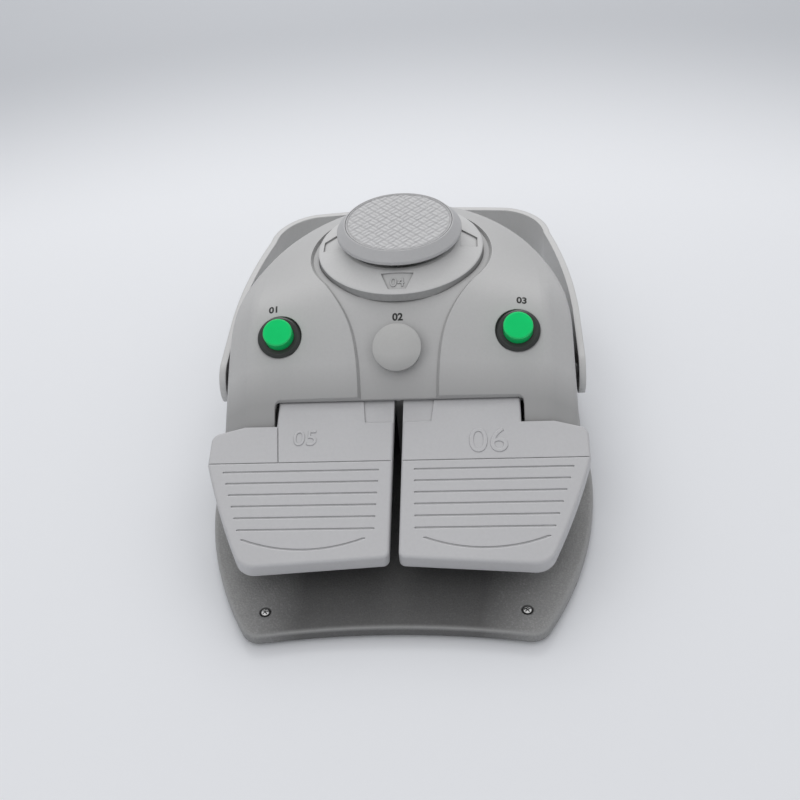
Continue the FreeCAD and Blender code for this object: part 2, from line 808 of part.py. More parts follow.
def housing(outer, inner, seats):
    shell = outer.cut(inner)
    web = cylinder(skirt_radius + 4, skirt_seat - seat_web, skirt_seat, 0, disc_y).common(outer)
    pads = [leaned(cylinder(pad, -panel_pad, 2), point, lean).common(outer) for point, lean, pad, _, _ in seats]
    pivot = [V(side * x, handle_pivot_y, handle_pivot_height)
             for side in (-1, 1) for x in (housing_half - 15, housing_half + 2)]
    lumps = [web] + pads + [rod(8.0, *ends).common(outer) for ends in (pivot[:2], pivot[2:])]
    for side in (-1, 1):
        stop = [V(side * x, stop_y, stop_z) for x in (housing_half - 4, stop_reach)]
        lumps.append(rod(3.0, *stop))
    for x, y in both_sides(screw_places()):
        lumps.append(cylinder(boss_radius, base_top, base_top + boss_height, x, y).common(outer))
    lumps.append(rod(13.0, V(0, inlet_inner, inlet_height), V(0, housing_rear, inlet_height)).common(outer))
    shell = shell.fuse(lumps)
    recess = keyhole_recess()
    cuts = [recess, notch(), cylinder(skirt_radius + gap, skirt_seat, 140, 0, disc_y),
            cylinder(disc_bush_radius + fit, bush_low, disc_flange_top, 0, disc_y)]
    clear = prism(pedal_outline(pedal_clear), base_top - 1, 80).common(slope_block(-hood_gap, 90))
    cuts += [clear, mirrored(clear)]
    for point, lean, pad, face, hole in seats:
        cuts.append(leaned(cylinder(face, 0, 20), point, lean))
        cuts.append(leaned(cylinder(hole, -30, 20), point, lean))
        cuts.append(leaned(cylinder(pad, -12, -panel_pad), point, lean))
    for side in (-1, 1):
        seat, end, outside = [V(side * x, handle_pivot_y, handle_pivot_height)
                              for x in (pivot_seat, pivot_seat - 11.5, housing_half + 9)]
        cuts.append(rod(washer_radius + 0.6, seat, outside))
        cuts.append(rod(pivot_thread + fit, end, outside))
    for x, y in both_sides(screw_places()):
        cuts.append(cylinder(screw_radius + fit, base_top - 1, base_top + boss_height - 4, x, y))
    for angle in skirt_screw_angles:
        x, y = skirt_screw_place(angle)
        cuts.append(cylinder(skirt_screw_radius + 0.2, skirt_seat - seat_web - 1, skirt_seat + 1, x, y))
    behind = V(0, housing_rear + 9, inlet_height)
    cuts.append(rod(grommet_radius + 0.5, V(0, inlet_outer, inlet_height), behind))
    cuts.append(rod(grommet_neck + fit, V(0, inlet_inner - 9, inlet_height), behind))
    return shell.cut(cuts).removeSplitter()


def skirt_screw_place(degrees):
    reach = skirt_radius - 6.5
    return reach * math.cos(math.radians(degrees)), disc_y + reach * math.sin(math.radians(degrees))


def inlet_grommet():
    inside = inlet_inner - 2.2
    outside = inlet_outer + 2.6
    body = rod(grommet_neck, V(0, inside, inlet_height), V(0, outside, inlet_height))
    flange_in = rod(grommet_radius, V(0, inside, inlet_height), V(0, inlet_inner - fit, inlet_height))
    flange_out = rod(grommet_radius, V(0, inlet_outer + fit, inlet_height), V(0, outside, inlet_height))
    bore = rod(inlet_bore, V(0, inside - 5, inlet_height), V(0, outside + 5, inlet_height))
    return body.fuse([flange_in, flange_out]).cut(bore).removeSplitter()


def housing_screws():
    screws = []
    for x, y in both_sides(screw_places()):
        shank = cylinder(screw_radius, foot_height - 0.2, base_top + boss_height - 6, x, y)
        head = cylinder(screw_head_radius, foot_height - 1.7, foot_height, x, y)
        socket = cylinder(1.2, foot_height - 2, foot_height - 0.7, x, y)
        screws.append(shank.fuse(head).cut(socket).removeSplitter())
    return Part.makeCompound(screws)


def front_screws():
    screws = []
    low = foot_height + 0.1
    seat = base_top - front_screw_sink + seat_gap
    radius = front_screw_head
    for x in (-front_screw_half, front_screw_half):
        body = turned([(0, low), (front_screw_radius, low), (front_screw_radius, seat), (radius, seat),
                       (radius - 0.2, seat + 0.8), (radius - 1.1, seat + 1.25), (0, seat + 1.3)])
        body.translate(V(x, front_screw_y, 0))
        screws.append(body)
    return Part.makeCompound(screws)


# Press disc

def skirt_ring():
    wall = skirt_wall
    seat = skirt_seat + seat_gap
    foot = seat + 2.4
    inside = skirt_radius - wall
    throat = skirt_top_radius - wall
    cone = turned([(skirt_radius, seat), (skirt_radius, skirt_edge_height - 0.5),
                   (skirt_radius - 0.5, skirt_edge_height), (skirt_top_radius, skirt_top),
                   (throat, skirt_top), (throat, skirt_top - wall), (inside, skirt_edge_height - wall * 0.9),
                   (inside, foot), (skirt_radius - 10, foot), (skirt_radius - 10, seat)])
    lowered = cone.copy()
    lowered.translate(V(0, 0, -window_depth))
    windows = []
    corners = [(-window_inner_half, -window_inner), (window_inner_half, -window_inner),
               (window_outer_half, -window_outer), (-window_outer_half, -window_outer)]
    for angle in (0, 90, -90):
        tool = polygon_prism(corners, skirt_seat + 3, skirt_top + 5)
        tool.rotate(V(0, 0, 0), UP, angle)
        windows.append(tool.cut(lowered))
    cone = cone.cut(windows)
    cone.translate(V(0, disc_y, 0))
    holes = []
    for angle in skirt_screw_angles:
        x, y = skirt_screw_place(angle)
        holes.append(cylinder(skirt_screw_radius + fit, skirt_seat - 1, seat + 3, x, y))
    return cone.cut(holes)


def skirt_screws():
    screws = []
    low = skirt_seat - seat_web
    for angle in skirt_screw_angles:
        x, y = skirt_screw_place(angle)
        shank = cylinder(skirt_screw_radius, low - 1, skirt_seat + 2.2, x, y)
        head = cylinder(2.4, low - 1.6, low - seat_gap, x, y)
        screws.append(shank.fuse(head).removeSplitter())
    return Part.makeCompound(screws)


def disc_pedal():
    rim_low = disc_edge_top - disc_rim
    bore = stem_spigot + fit
    bore_end = disc_boss_low + stem_spigot_length + 0.2
    body = turned([(0, disc_top - pad_thickness), (disc_pad_radius, disc_top - pad_thickness),
                   (disc_pad_radius, disc_top), (disc_pad_radius + 0.6, disc_top),
                   (disc_radius - 0.3, disc_edge_top), (disc_radius, disc_edge_top - 0.4),
                   (disc_radius, rim_low), (disc_radius - 1.8, rim_low), (disc_pad_radius - 1.4, disc_under),
                   (disc_boss_radius, disc_under), (disc_boss_radius, disc_boss_low), (bore, disc_boss_low),
                   (bore, bore_end), (0, bore_end)])
    body.translate(V(0, disc_y, 0))
    return body


def disc_tread():
    low = disc_top - pad_thickness + seat_gap
    body = turned([(0, low), (disc_pad_radius - gap, low), (disc_pad_radius - gap, disc_top - 0.2),
                   (disc_pad_radius - gap - 0.4, disc_top + 0.2), (0, disc_top + 0.2)])
    body.translate(V(0, disc_y, 0))
    return body


def grooved_stem(radius, low, high, spigot, spigot_length, clip_low, clip_high):
    """A turned stem with a spigot on top and a groove for its retaining clip."""
    return turned([(0, low), (radius - 0.4, low), (radius, low + 0.4), (radius, clip_low),
                   (radius - 0.8, clip_low), (radius - 0.8, clip_high), (radius, clip_high), (radius, high),
                   (spigot, high), (spigot, high + spigot_length), (0, high + spigot_length)])


def clip_ring(radius, outer, low, high):
    """An open retaining ring."""
    ring = tube(outer, radius - 0.8 + fit, low, high)
    return ring.cut(block(-1.6, 1.6, 0, outer + 2, low - 1, high + 1))


def disc_stem():
    clip_high = bush_low - gap
    body = grooved_stem(disc_stem_radius, stem_low, disc_boss_low - seat_gap, stem_spigot, stem_spigot_length,
                        clip_high - clip_thickness - 0.05, clip_high + 0.05)
    body.translate(V(0, disc_y, 0))
    return body


def disc_clip():
    clip_high = bush_low - gap
    body = clip_ring(disc_stem_radius, 7.0, clip_high - clip_thickness, clip_high)
    body.translate(V(0, disc_y, 0))
    return body


def disc_bush():
    seat = skirt_seat + seat_gap
    bore = disc_stem_radius + fit
    body = turned([(bore, bush_low), (disc_bush_radius, bush_low), (disc_bush_radius, seat),
                   (disc_flange_radius, seat), (disc_flange_radius, disc_flange_top), (bore, disc_flange_top)])
    body.translate(V(0, disc_y, 0))
    return body


def disc_nut():
    high = skirt_seat - seat_web - seat_gap
    ring = hexagon_nut(disc_nut_half, disc_bush_radius, high - disc_nut_height, high)
    ring.translate(V(0, disc_y, 0))
    return ring


def hexagon(across_half, height):
    reach = across_half / math.cos(math.pi / 6)
    points = [V(reach * math.cos(math.pi / 3 * i), reach * math.sin(math.pi / 3 * i), height) for i in range(7)]
    return Part.makePolygon(points)


def hexagon_nut(across_half, bore, low, high):
    nut = Part.Face(hexagon(across_half, low)).extrude(V(0, 0, high - low))
    return nut.cut(cylinder(bore + fit, low - 1, high + 1))


def solder_tabs(high):
    """Two flat tabs under a switch case."""
    half = tab_thickness / 2.0
    return [block(x - tab_half, x + tab_half, -half, half, high - tab_length - 1, high + 1)
            for x in (-tab_spread, tab_spread)]


def disc_spring():
    body = helix_spring(disc_spring_radius, disc_spring_wire, disc_flange_top + fit, disc_under - fit, 4)
    body.translate(V(0, disc_y, 0))
    return body


def disc_switch():
    high = skirt_seat - seat_web - disc_nut_height - gap
    floor = stem_low - disc_travel - 1.4
    low = floor - disc_switch_height
    body = plunger_case(disc_bush_radius, disc_switch_radius, low, floor, high)
    body.translate(V(0, disc_y, 0))
    return body


def plunger_case(bush_radius, outer, low, floor, high):
    """A switch case that clips on the end of a bush, with its plunger and tabs."""
    bore = bush_radius + fit
    case = turned([(bore, high), (outer, high), (outer, low), (0, low), (0, floor + switch_wall_pocket),
                   (plunger_radius, floor + switch_wall_pocket), (plunger_radius, floor), (bore, floor)])
    return case.fuse(solder_tabs(low)).removeSplitter()


# Pedal hardware

def hinge_shaft():
    reach = tongue_half + notch_clearance + post_width + 3.4
    shaft = rod(hinge_radius, V(-reach, hinge_y, hinge_height), V(reach, hinge_y, hinge_height))
    for side in (-1, 1):
        at = side * shaft_clip_x
        along = lambda x: V(at + x, hinge_y, hinge_height)
        ring = rod(hinge_radius + 1, along(-0.55), along(0.55))
        shaft = shaft.cut(ring.cut(rod(hinge_radius - 0.7, along(-1), along(1))))
    return shaft


def shaft_clips():
    clips = []
    for side in (-1, 1):
        ring = clip_ring(hinge_radius + 0.1, hinge_radius + 3.2, -0.5, 0.5)
        ring.rotate(V(0, 0, 0), ALONG, 90)
        ring.translate(V(side * shaft_clip_x, hinge_y, hinge_height))
        clips.append(ring)
    return Part.makeCompound(clips)


def pedal_spring(side):
    body = helix_spring(pedal_spring_radius, pedal_spring_wire, base_top + fit, spring_seat - fit, 6)
    body.translate(V(side * spring_x, spring_y, 0))
    return body


def pedal_switch(side):
    x = side * switch_x
    half = micro_switch_half
    deep = micro_switch_depth_half
    case = block(x - half, x + half, switch_y - deep, switch_y + deep, switch_low + seat_gap, switch_high)
    holes = []
    for hole_x in (x - half / 2, x + half / 2):
        ends = [V(hole_x, y, switch_low + 3) for y in (switch_y - deep - 5, switch_y + deep + 5)]
        holes.append(rod(1.4, *ends))
    plunger = cylinder(plunger_radius, switch_high - 1, plunger_top, x, switch_y)
    return case.cut(holes).fuse(plunger).removeSplitter()


def pedal_bumpers():
    pads = []
    high = heel_low - gap
    for side in (-1, 1):
        x = side * (outer_lug_x + lug_width / 2)
        y = hinge_y + heel_reach - bumper_depth_half - 0.5
        pads.append(block(x - bumper_half, x + bumper_half, y - bumper_depth_half, y + bumper_depth_half,
                          high - bumper_thickness + seat_gap, high))
    return Part.makeCompound(pads)


# Push buttons, built on their own axis with the panel seat at zero

def button_body():
    guide = cap_radius + 0.1
    floor = -barrel_length + barrel_floor
    ledge = -cap_depth - button_travel - 0.4
    barrel = turned([(guide, bezel_height), (bezel_radius - 1.6, bezel_height), (bezel_radius, 0.9),
                     (bezel_radius, seat_gap), (barrel_radius, seat_gap), (barrel_radius, -barrel_length),
                     (0, -barrel_length), (0, floor), (spring_bore, floor), (spring_bore, ledge),
                     (guide, ledge)])
    return barrel.fuse(solder_tabs(-barrel_length)).removeSplitter()


def button_cap():
    high = bezel_height + cap_stand
    inside = cap_radius - cap_wall
    return turned([(0, high), (cap_radius - 0.9, high), (cap_radius - 0.25, high - 0.3),
                   (cap_radius, high - 1.0), (cap_radius, -cap_depth), (inside, -cap_depth),
                   (inside, 0), (0, 0)])


def button_nut():
    high = -panel_pad - seat_gap
    return hexagon_nut(button_nut_half, barrel_radius, high - panel_nut_height, high)


def button_spring():
    return helix_spring(spring_radius, spring_wire, -barrel_length + barrel_floor + fit, -fit, 4)


# Middle knob, built on its own axis with the panel seat at zero

def middle_knob():
    """Domed cap, hollow from below, with a hub for the stem's spigot."""
    low = knob_stand + panel_sink
    edge = low + knob_rim
    top = edge + knob_dome
    hollow = low + knob_rim - knob_ceiling
    inside = knob_radius - 2.2
    ball = (knob_radius ** 2 + knob_dome ** 2) / (2 * knob_dome)
    sweep = math.asin(knob_radius / ball) / 2.0
    shoulder = V(ball * math.sin(sweep), 0, top - ball + ball * math.cos(sweep))
    dome = arc(V(knob_radius, 0, edge), shoulder, V(0, 0, top))
    outline = [(0, top), (0, low + knob_hub), (knob_spigot + fit, low + knob_hub),
               (knob_spigot + fit, low + knob_seat_depth), (spring_bore, low + knob_seat_depth),
               (spring_bore, hollow), (inside, hollow), (inside, low),
               (knob_radius - 0.3, low), (knob_radius, low + 0.3), (knob_radius, edge)]
    corners = [V(r, 0, z) for r, z in outline]
    edges = [line(a, b) for a, b in zip(corners, corners[1:])]
    return Part.Face(Part.Wire(edges + [dome])).revolve(V(0, 0, 0), UP, 360)


def knob_stem():
    high = knob_stand + panel_sink + knob_seat_depth - seat_gap
    return grooved_stem(knob_stem_radius, -knob_stem_length, high, knob_spigot, knob_spigot_length,
                        knob_clip_high - clip_thickness - 0.05, knob_clip_high + 0.05)


def knob_bush():
    bore = knob_stem_radius + fit
    return turned([(bore, -knob_bush_length), (knob_bush_radius, -knob_bush_length),
                   (knob_bush_radius, seat_gap), (knob_flange_radius, seat_gap),
                   (knob_flange_radius, knob_flange), (spring_bore, knob_flange),
                   (spring_bore, -knob_bush_pocket), (bore, -knob_bush_pocket)])


def knob_nut():
    high = -panel_pad - seat_gap
    return hexagon_nut(knob_nut_half, knob_bush_radius, high - panel_nut_height, high)


def knob_spring():
    high = knob_stand + panel_sink + knob_seat_depth - fit
    return helix_spring(spring_radius, spring_wire, -knob_bush_pocket + fit, high, 4)


def knob_clip():
    return clip_ring(knob_stem_radius, 5.6, knob_clip_high - clip_thickness, knob_clip_high)


def knob_switch():
    high = -panel_pad - panel_nut_height - gap
    floor = -knob_stem_length - knob_travel - 1.2
    return plunger_case(knob_bush_radius, knob_switch_radius, floor - knob_switch_height, floor, high)


# Carrying handle

def handle():
    side = V(arm_outer, handle_pivot_y - 40, 0)
    bend = V(arm_outer, handle_pivot_y + 44, 0)
    corner = V(handle_corner_half, handle_corner_y, 0)
    bend_mid = V(arm_outer - 4.0, (bend.y + corner.y) / 2 + 3, 0)
    turn = V(handle_rear_half, handle_rear - 4.0, 0)
    turn_mid = V((corner.x + turn.x) / 2 + 5.4, (corner.y + turn.y) / 2 + 4.4, 0)
    flip = lambda p: V(-p.x, p.y, p.z)
    edges = [line(flip(side), side), line(side, bend), arc(bend, bend_mid, corner), arc(corner, turn_mid, turn),
             arc(turn, V(0, handle_rear, 0), flip(turn)), arc(flip(turn), flip(turn_mid), flip(corner)),
             arc(flip(corner), flip(bend_mid), flip(bend)), line(flip(bend), flip(side))]
    outer = Part.Wire(edges)
    inner = outer.makeOffset2D(-handle_thickness)
    band = prism(outer, handle_low, handle_high).cut(prism(inner, handle_low - 1, handle_high + 1))
    keep = block(-150, 150, handle_pivot_y, handle_rear + 9, handle_low - 1, handle_high + 1)
    axis = [V(side * 150, handle_pivot_y, handle_pivot_height) for side in (-1, 1)]
    band = band.common(keep.fuse(rod(handle_end_radius, *axis)))
    sinks = []
    for side in (-1, 1):
        floor = V(side * (arm_outer - pivot_head_sink), handle_pivot_y, handle_pivot_height)
        sinks.append(rod(pivot_head_radius + 0.4, floor, V(side * 150, handle_pivot_y, handle_pivot_height)))
    return band.cut([rod(pivot_radius + hinge_clearance, *axis)] + sinks).removeSplitter()


def handle_pivots():
    pins = []
    for side in (-1, 1):
        along = lambda x: V(side * x, handle_pivot_y, handle_pivot_height)
        thread = rod(pivot_thread, along(pivot_seat - 11), along(pivot_seat + 0.5))
        under = arm_outer - pivot_head_sink + 0.15
        shoulder = rod(pivot_radius, along(pivot_seat + seat_gap), along(under + 0.3))
        head = rod(pivot_head_radius, along(under), along(arm_outer))
        slot = rod(2.2, along(arm_outer - 0.9), along(arm_outer + 3))
        pins.append(thread.fuse([shoulder, head]).cut(slot).removeSplitter())
    return Part.makeCompound(pins)


def handle_washers():
    rings = []
    for side in (-1, 1):
        along = lambda x: V(side * x, handle_pivot_y, handle_pivot_height)
        ring = rod(washer_radius, along(pivot_seat + seat_gap), along(arm_inner - 0.15))
        rings.append(ring.cut(rod(pivot_radius + fit, along(pivot_seat - 2), along(arm_inner + 2))))
    return Part.makeCompound(rings)


# Terminal board

def terminal_board():
    low = board_height + seat_gap
    half = board_width / 2
    deep = board_depth / 2
    body = block(-half, half, board_y - deep, board_y + deep, low, low + board_thickness)
    return body.cut([cylinder(board_screw_radius + 0.2, 0, 60, x, y) for x, y in board_corners()])


def terminal_block():
    low = board_height + seat_gap * 2 + board_thickness
    body = block(-20, 20, board_y - 5, board_y + 5, low, low + 9)
    body = body.cut(block(-21, 21, board_y + 2, board_y + 6, low + 5.5, low + 10))
    return body.cut([cylinder(1.6, low + 4, low + 12, -17.5 + 5 * i, board_y - 1.6) for i in range(8)])


def board_screws():
    top = board_height + seat_gap * 2 + board_thickness
    screws = []
    for x, y in board_corners():
        shank = cylinder(board_screw_radius, base_top + 1.5, top + 0.2, x, y)
        screws.append(shank.fuse(cylinder(2.3, top, top + 1.5, x, y)).removeSplitter())
    return Part.makeCompound(screws)


# Writing the pieces out

os.makedirs("parts", exist_ok=True)


def write(name, shape):
    shape = shape.copy()
    shape.translate(V(0, -overall_length / 2.0, 0))
    shape.exportStep("parts/" + name + ".step")


outer, inner = housing_blanks()
recessed = outer.cut(keyhole_recess())
knob_seat = panel_seat(recessed, 0, knob_y, knob_tilt)
button_seats = {name: panel_seat(outer, side * button_half, button_y, button_tilt)
                for name, side in (("left", -1), ("right", 1))}
seats = [(knob_seat, knob_tilt, knob_flange_radius + 3.0, knob_flange_radius + 0.4, knob_bush_radius + fit)]
for point in button_seats.values():
    seats.append((point, button_tilt, nut_clearance, bezel_radius + gap, barrel_radius + fit))

write("base_plate", base_plate())
write("bottom_plate", bottom_plate())
write("rubber_feet", rubber_feet())
write("housing", housing(outer, inner, seats))
write("housing_screws", housing_screws())
write("front_screws", front_screws())
write("inlet_grommet", inlet_grommet())
write("skirt_ring", skirt_ring())
write("skirt_screws", skirt_screws())
write("disc_pedal", disc_pedal())
write("disc_tread", disc_tread())
write("disc_stem", disc_stem())
write("disc_clip", disc_clip())
write("disc_bush", disc_bush())
write("disc_nut", disc_nut())
write("disc_spring", disc_spring())
write("disc_switch", disc_switch())
pedal = right_pedal()
write("right_pedal", pedal)
write("left_pedal", left_pedal(pedal))
write("hinge_shaft", hinge_shaft())
write("shaft_clips", shaft_clips())
write("pedal_bumpers", pedal_bumpers())
for name, side in (("left", -1), ("right", 1)):
    write(name + "_pedal_spring", pedal_spring(side))
    write(name + "_pedal_switch", pedal_switch(side))
    seat = button_seats[name]
    write(name + "_button_body", leaned(button_body(), seat, button_tilt))
    write(name + "_button_cap", leaned(button_cap(), seat, button_tilt))
    write(name + "_button_nut", leaned(button_nut(), seat, button_tilt))
    write(name + "_button_spring", leaned(button_spring(), seat, button_tilt))
write("middle_knob", leaned(middle_knob(), knob_seat, knob_tilt))
write("knob_stem", leaned(knob_stem(), knob_seat, knob_tilt))
write("knob_bush", leaned(knob_bush(), knob_seat, knob_tilt))
write("knob_nut", leaned(knob_nut(), knob_seat, knob_tilt))
write("knob_spring", leaned(knob_spring(), knob_seat, knob_tilt))
write("knob_clip", leaned(knob_clip(), knob_seat, knob_tilt))
write("knob_switch", leaned(knob_switch(), knob_seat, knob_tilt))
write("handle", handle())
write("handle_pivots", handle_pivots())
write("handle_washers", handle_washers())
write("terminal_board", terminal_board())
write("terminal_block", terminal_block())
write("board_screws", board_screws())
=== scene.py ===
import json
import math

import bmesh
import bpy
from bpy.props import FloatProperty, FloatVectorProperty, IntProperty, PointerProperty
from mathutils import Matrix, Vector
from mathutils.bvhtree import BVHTree


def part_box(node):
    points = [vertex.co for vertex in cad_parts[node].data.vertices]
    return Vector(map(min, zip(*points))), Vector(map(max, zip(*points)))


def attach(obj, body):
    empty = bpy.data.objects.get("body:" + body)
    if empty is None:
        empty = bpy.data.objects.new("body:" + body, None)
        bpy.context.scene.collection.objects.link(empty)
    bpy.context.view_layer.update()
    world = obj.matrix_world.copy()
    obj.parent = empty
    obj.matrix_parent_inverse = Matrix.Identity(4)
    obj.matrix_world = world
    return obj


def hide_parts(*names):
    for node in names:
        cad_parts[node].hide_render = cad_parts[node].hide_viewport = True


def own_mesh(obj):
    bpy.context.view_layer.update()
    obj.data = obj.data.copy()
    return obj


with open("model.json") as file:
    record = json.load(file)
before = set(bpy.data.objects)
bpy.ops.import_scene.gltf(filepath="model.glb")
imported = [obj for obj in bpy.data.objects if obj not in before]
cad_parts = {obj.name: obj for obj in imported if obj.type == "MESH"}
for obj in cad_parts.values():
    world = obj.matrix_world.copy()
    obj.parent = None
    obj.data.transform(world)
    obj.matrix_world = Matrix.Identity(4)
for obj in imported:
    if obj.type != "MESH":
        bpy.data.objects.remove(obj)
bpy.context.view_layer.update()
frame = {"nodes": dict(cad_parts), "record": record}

bl_info = {
    "name": "Dental Foot Switch",
    "version": (1, 0, 0),
    "blender": (4, 5, 0),
    "location": "View3D > Sidebar > Foot Switch",
    "description": "Finishes, moulded details and studio for a dental foot switch",
    "category": "Object",
}

MM = 0.001
UP = Vector((0, 0, 1))
REAR = Vector((0, 1, 0))

# Heads of the front screws: how far the dome falls towards its rim, how late it does so, and its cross recess
SCREW_RADIUS = 2.3 * MM
SCREW_HEIGHT = 1.3 * MM
DOME_FALL = 0.55
DOME_POWER = 2.4
SHANK_RADIUS = 0.54 * SCREW_RADIUS
RECESS_REACH = 0.66 * SCREW_RADIUS
RECESS_HALF_WIDTH = 0.34 * MM
RECESS_SLOPE = 0.12 * MM
RECESS_DEPTH = 0.75 * MM
RECESS_ANGLE = 0.7

# Each return spring, the joint that presses it and how far it is pressed
SPRINGS = (
    ("disc_spring", "disc_press", 4.0 * MM),
    ("knob_spring", "knob_press", 4.0 * MM),
    ("left_pedal_spring", "left_pedal_hinge", 4.8 * MM),
    ("right_pedal_spring", "right_pedal_hinge", 4.8 * MM),
    ("left_button_spring", "left_button_press", 3.0 * MM),
    ("right_button_spring", "right_button_press", 3.0 * MM),
)

# Each moulded number's treadle, text, place and share of the height that is set
MOULDED_NUMBERS = (
    ("left_pedal", "05", -51.0 * MM, -59.5 * MM, 0.63),
    ("right_pedal", "06", 49.5 * MM, -63.0 * MM, 1.0),
)

# Each printed number and its place beside its control, and the place of the number in the skirt's window
PRINTED_NUMBERS = (("01", -72.0 * MM, 7.5 * MM), ("02", 0.0, -0.8 * MM), ("03", 70.0 * MM, 8.5 * MM))
WINDOW_NUMBER_Y = 14.3 * MM

# Light and camera of the stage
LAMP_TARGET = (0.0, 0.0, 0.05)
AIR_COLOUR = (0.985, 0.985, 1.0, 1.0)
AIR_STRENGTH = 0.72
CAMERA_PLACE = (0.04935, -0.50246, 0.45262)


# Settings that a user would change

def colour(name, text, value):
    """A setting that holds a colour."""
    return FloatVectorProperty(name=name, description=text, subtype="COLOR", size=3, min=0.0, max=1.0,
                               default=value)


def length(name, text, value, most):
    """A setting that holds a length from 0 to most."""
    return FloatProperty(name=name, description=text, subtype="DISTANCE", unit="LENGTH", min=0.0, max=most,
                         default=value)


def turn(name, text, degrees):
    """A setting that holds an angle."""
    return FloatProperty(name=name, description=text, subtype="ANGLE", default=math.radians(degrees))


class FinishColours(bpy.types.PropertyGroup):
    shell: colour("Housing", "Moulded grey of the housing, skirt and handle", (0.525, 0.525, 0.521))
    pedal: colour("Pedals", "Slightly cooler grey of the two treadles", (0.535, 0.535, 0.545))
    disc: colour("Press disc", "Grey of the round press disc and its pad", (0.50, 0.50, 0.505))
    base: colour("Base", "Grey of the base moulding with its leather grain", (0.20, 0.20, 0.198))
    knob: colour("Middle knob", "Grey of the domed middle knob", (0.50, 0.50, 0.49))
    green: colour("Button caps", "Green of the two push button caps", (0.003, 0.70, 0.18))
    black: colour("Button bezels", "Black of the bezels and of the printed numbers", (0.03, 0.033, 0.03))
    rubber: colour("Rubber", "Colour of the feet, bumpers and grommet", (0.022, 0.022, 0.022))
    steel: colour("Bright steel", "Colour of plated screws, pins and clips", (0.62, 0.62, 0.61))


class DetailSizes(bpy.types.PropertyGroup):
    soft_edge: length("Soft edge", "Radius that rounds the look of moulded edges", 1.0 * MM, 0.01)
    tread_pitch: length("Tread pitch", "Width of one woven block on the round pad", 5.4 * MM, 0.02)
    tread_height: length("Tread height", "Height of the woven blocks on the round pad", 0.8 * MM, 0.002)
    tread_rim: length("Tread rim", "Plain band at the edge of the round pad", 0.8 * MM, 0.01)
    tread_rings: IntProperty(name="Tread rings", description="Rings of points on the round pad",
                             min=20, max=200, default=96)
    printed_height: length("Printed number height", "Height of the numbers beside the controls",
                           4.2 * MM, 0.02)
    moulded_height: length("Moulded number height", "Height of the number on the right treadle",
                           15.5 * MM, 0.05)
    moulded_rise: length("Moulded number rise", "How far a moulded number stands up", 0.4 * MM, 0.002)
    window_height: length("Window number height", "Height of the number in the skirt's window",
                          6.0 * MM, 0.02)


class StageSettings(bpy.types.PropertyGroup):
    azimuth: turn("Azimuth", "Turn of the camera round the foot switch", 5.95)
    elevation: turn("Elevation", "Height of the camera as an angle", 40.29)
    roll: turn("Roll", "Lean of the camera about its own line of sight", 5.26)
    lens: FloatProperty(name="Lens", description="Focal length of the camera", subtype="DISTANCE_CAMERA",
                        default=49.51)
    # The floor colour is the painted pool of light of the studio paper and the backdrop colour its painted
    # shade.
    floor: colour("Floor", "Pale floor under the foot switch", (0.825, 0.84, 0.865))
    backdrop: colour("Backdrop", "Pale paper away from the foot switch", (0.50, 0.515, 0.54))


class FootSwitchSettings(bpy.types.PropertyGroup):
    colours: PointerProperty(type=FinishColours)
    sizes: PointerProperty(type=DetailSizes)
    stage: PointerProperty(type=StageSettings)


# Node trees

class Number:
    """A socket that carries one number and can be used in a sum."""

    def __init__(self, tree, socket):
        self.tree = tree
        self.socket = socket

    def math(self, operation, first, second=None):
        """The outcome of a Math node on one or two values."""
        node = self.tree.nodes.new("ShaderNodeMath")
        node.operation = operation
        for slot, value in zip(node.inputs, (first, second)):
            if isinstance(value, Number):
                self.tree.links.new(value.socket, slot)
            elif value is not None:
                slot.default_value = value
        return Number(self.tree, node.outputs[0])

    def __add__(self, other):
        return self.math("ADD", self, other)

    def __radd__(self, other):
        return self.math("ADD", other, self)

    def __sub__(self, other):
        return self.math("SUBTRACT", self, other)

    def __rsub__(self, other):
        return self.math("SUBTRACT", other, self)

    def __mul__(self, other):
        return self.math("MULTIPLY", self, other)

    def __rmul__(self, other):
        return self.math("MULTIPLY", other, self)

    def __abs__(self):
        return self.math("ABSOLUTE", self)

    def clamped(self, low=0.0, high=1.0):
        """The number kept between low and high."""
        return self.math("MINIMUM", self.math("MAXIMUM", self, low), high)


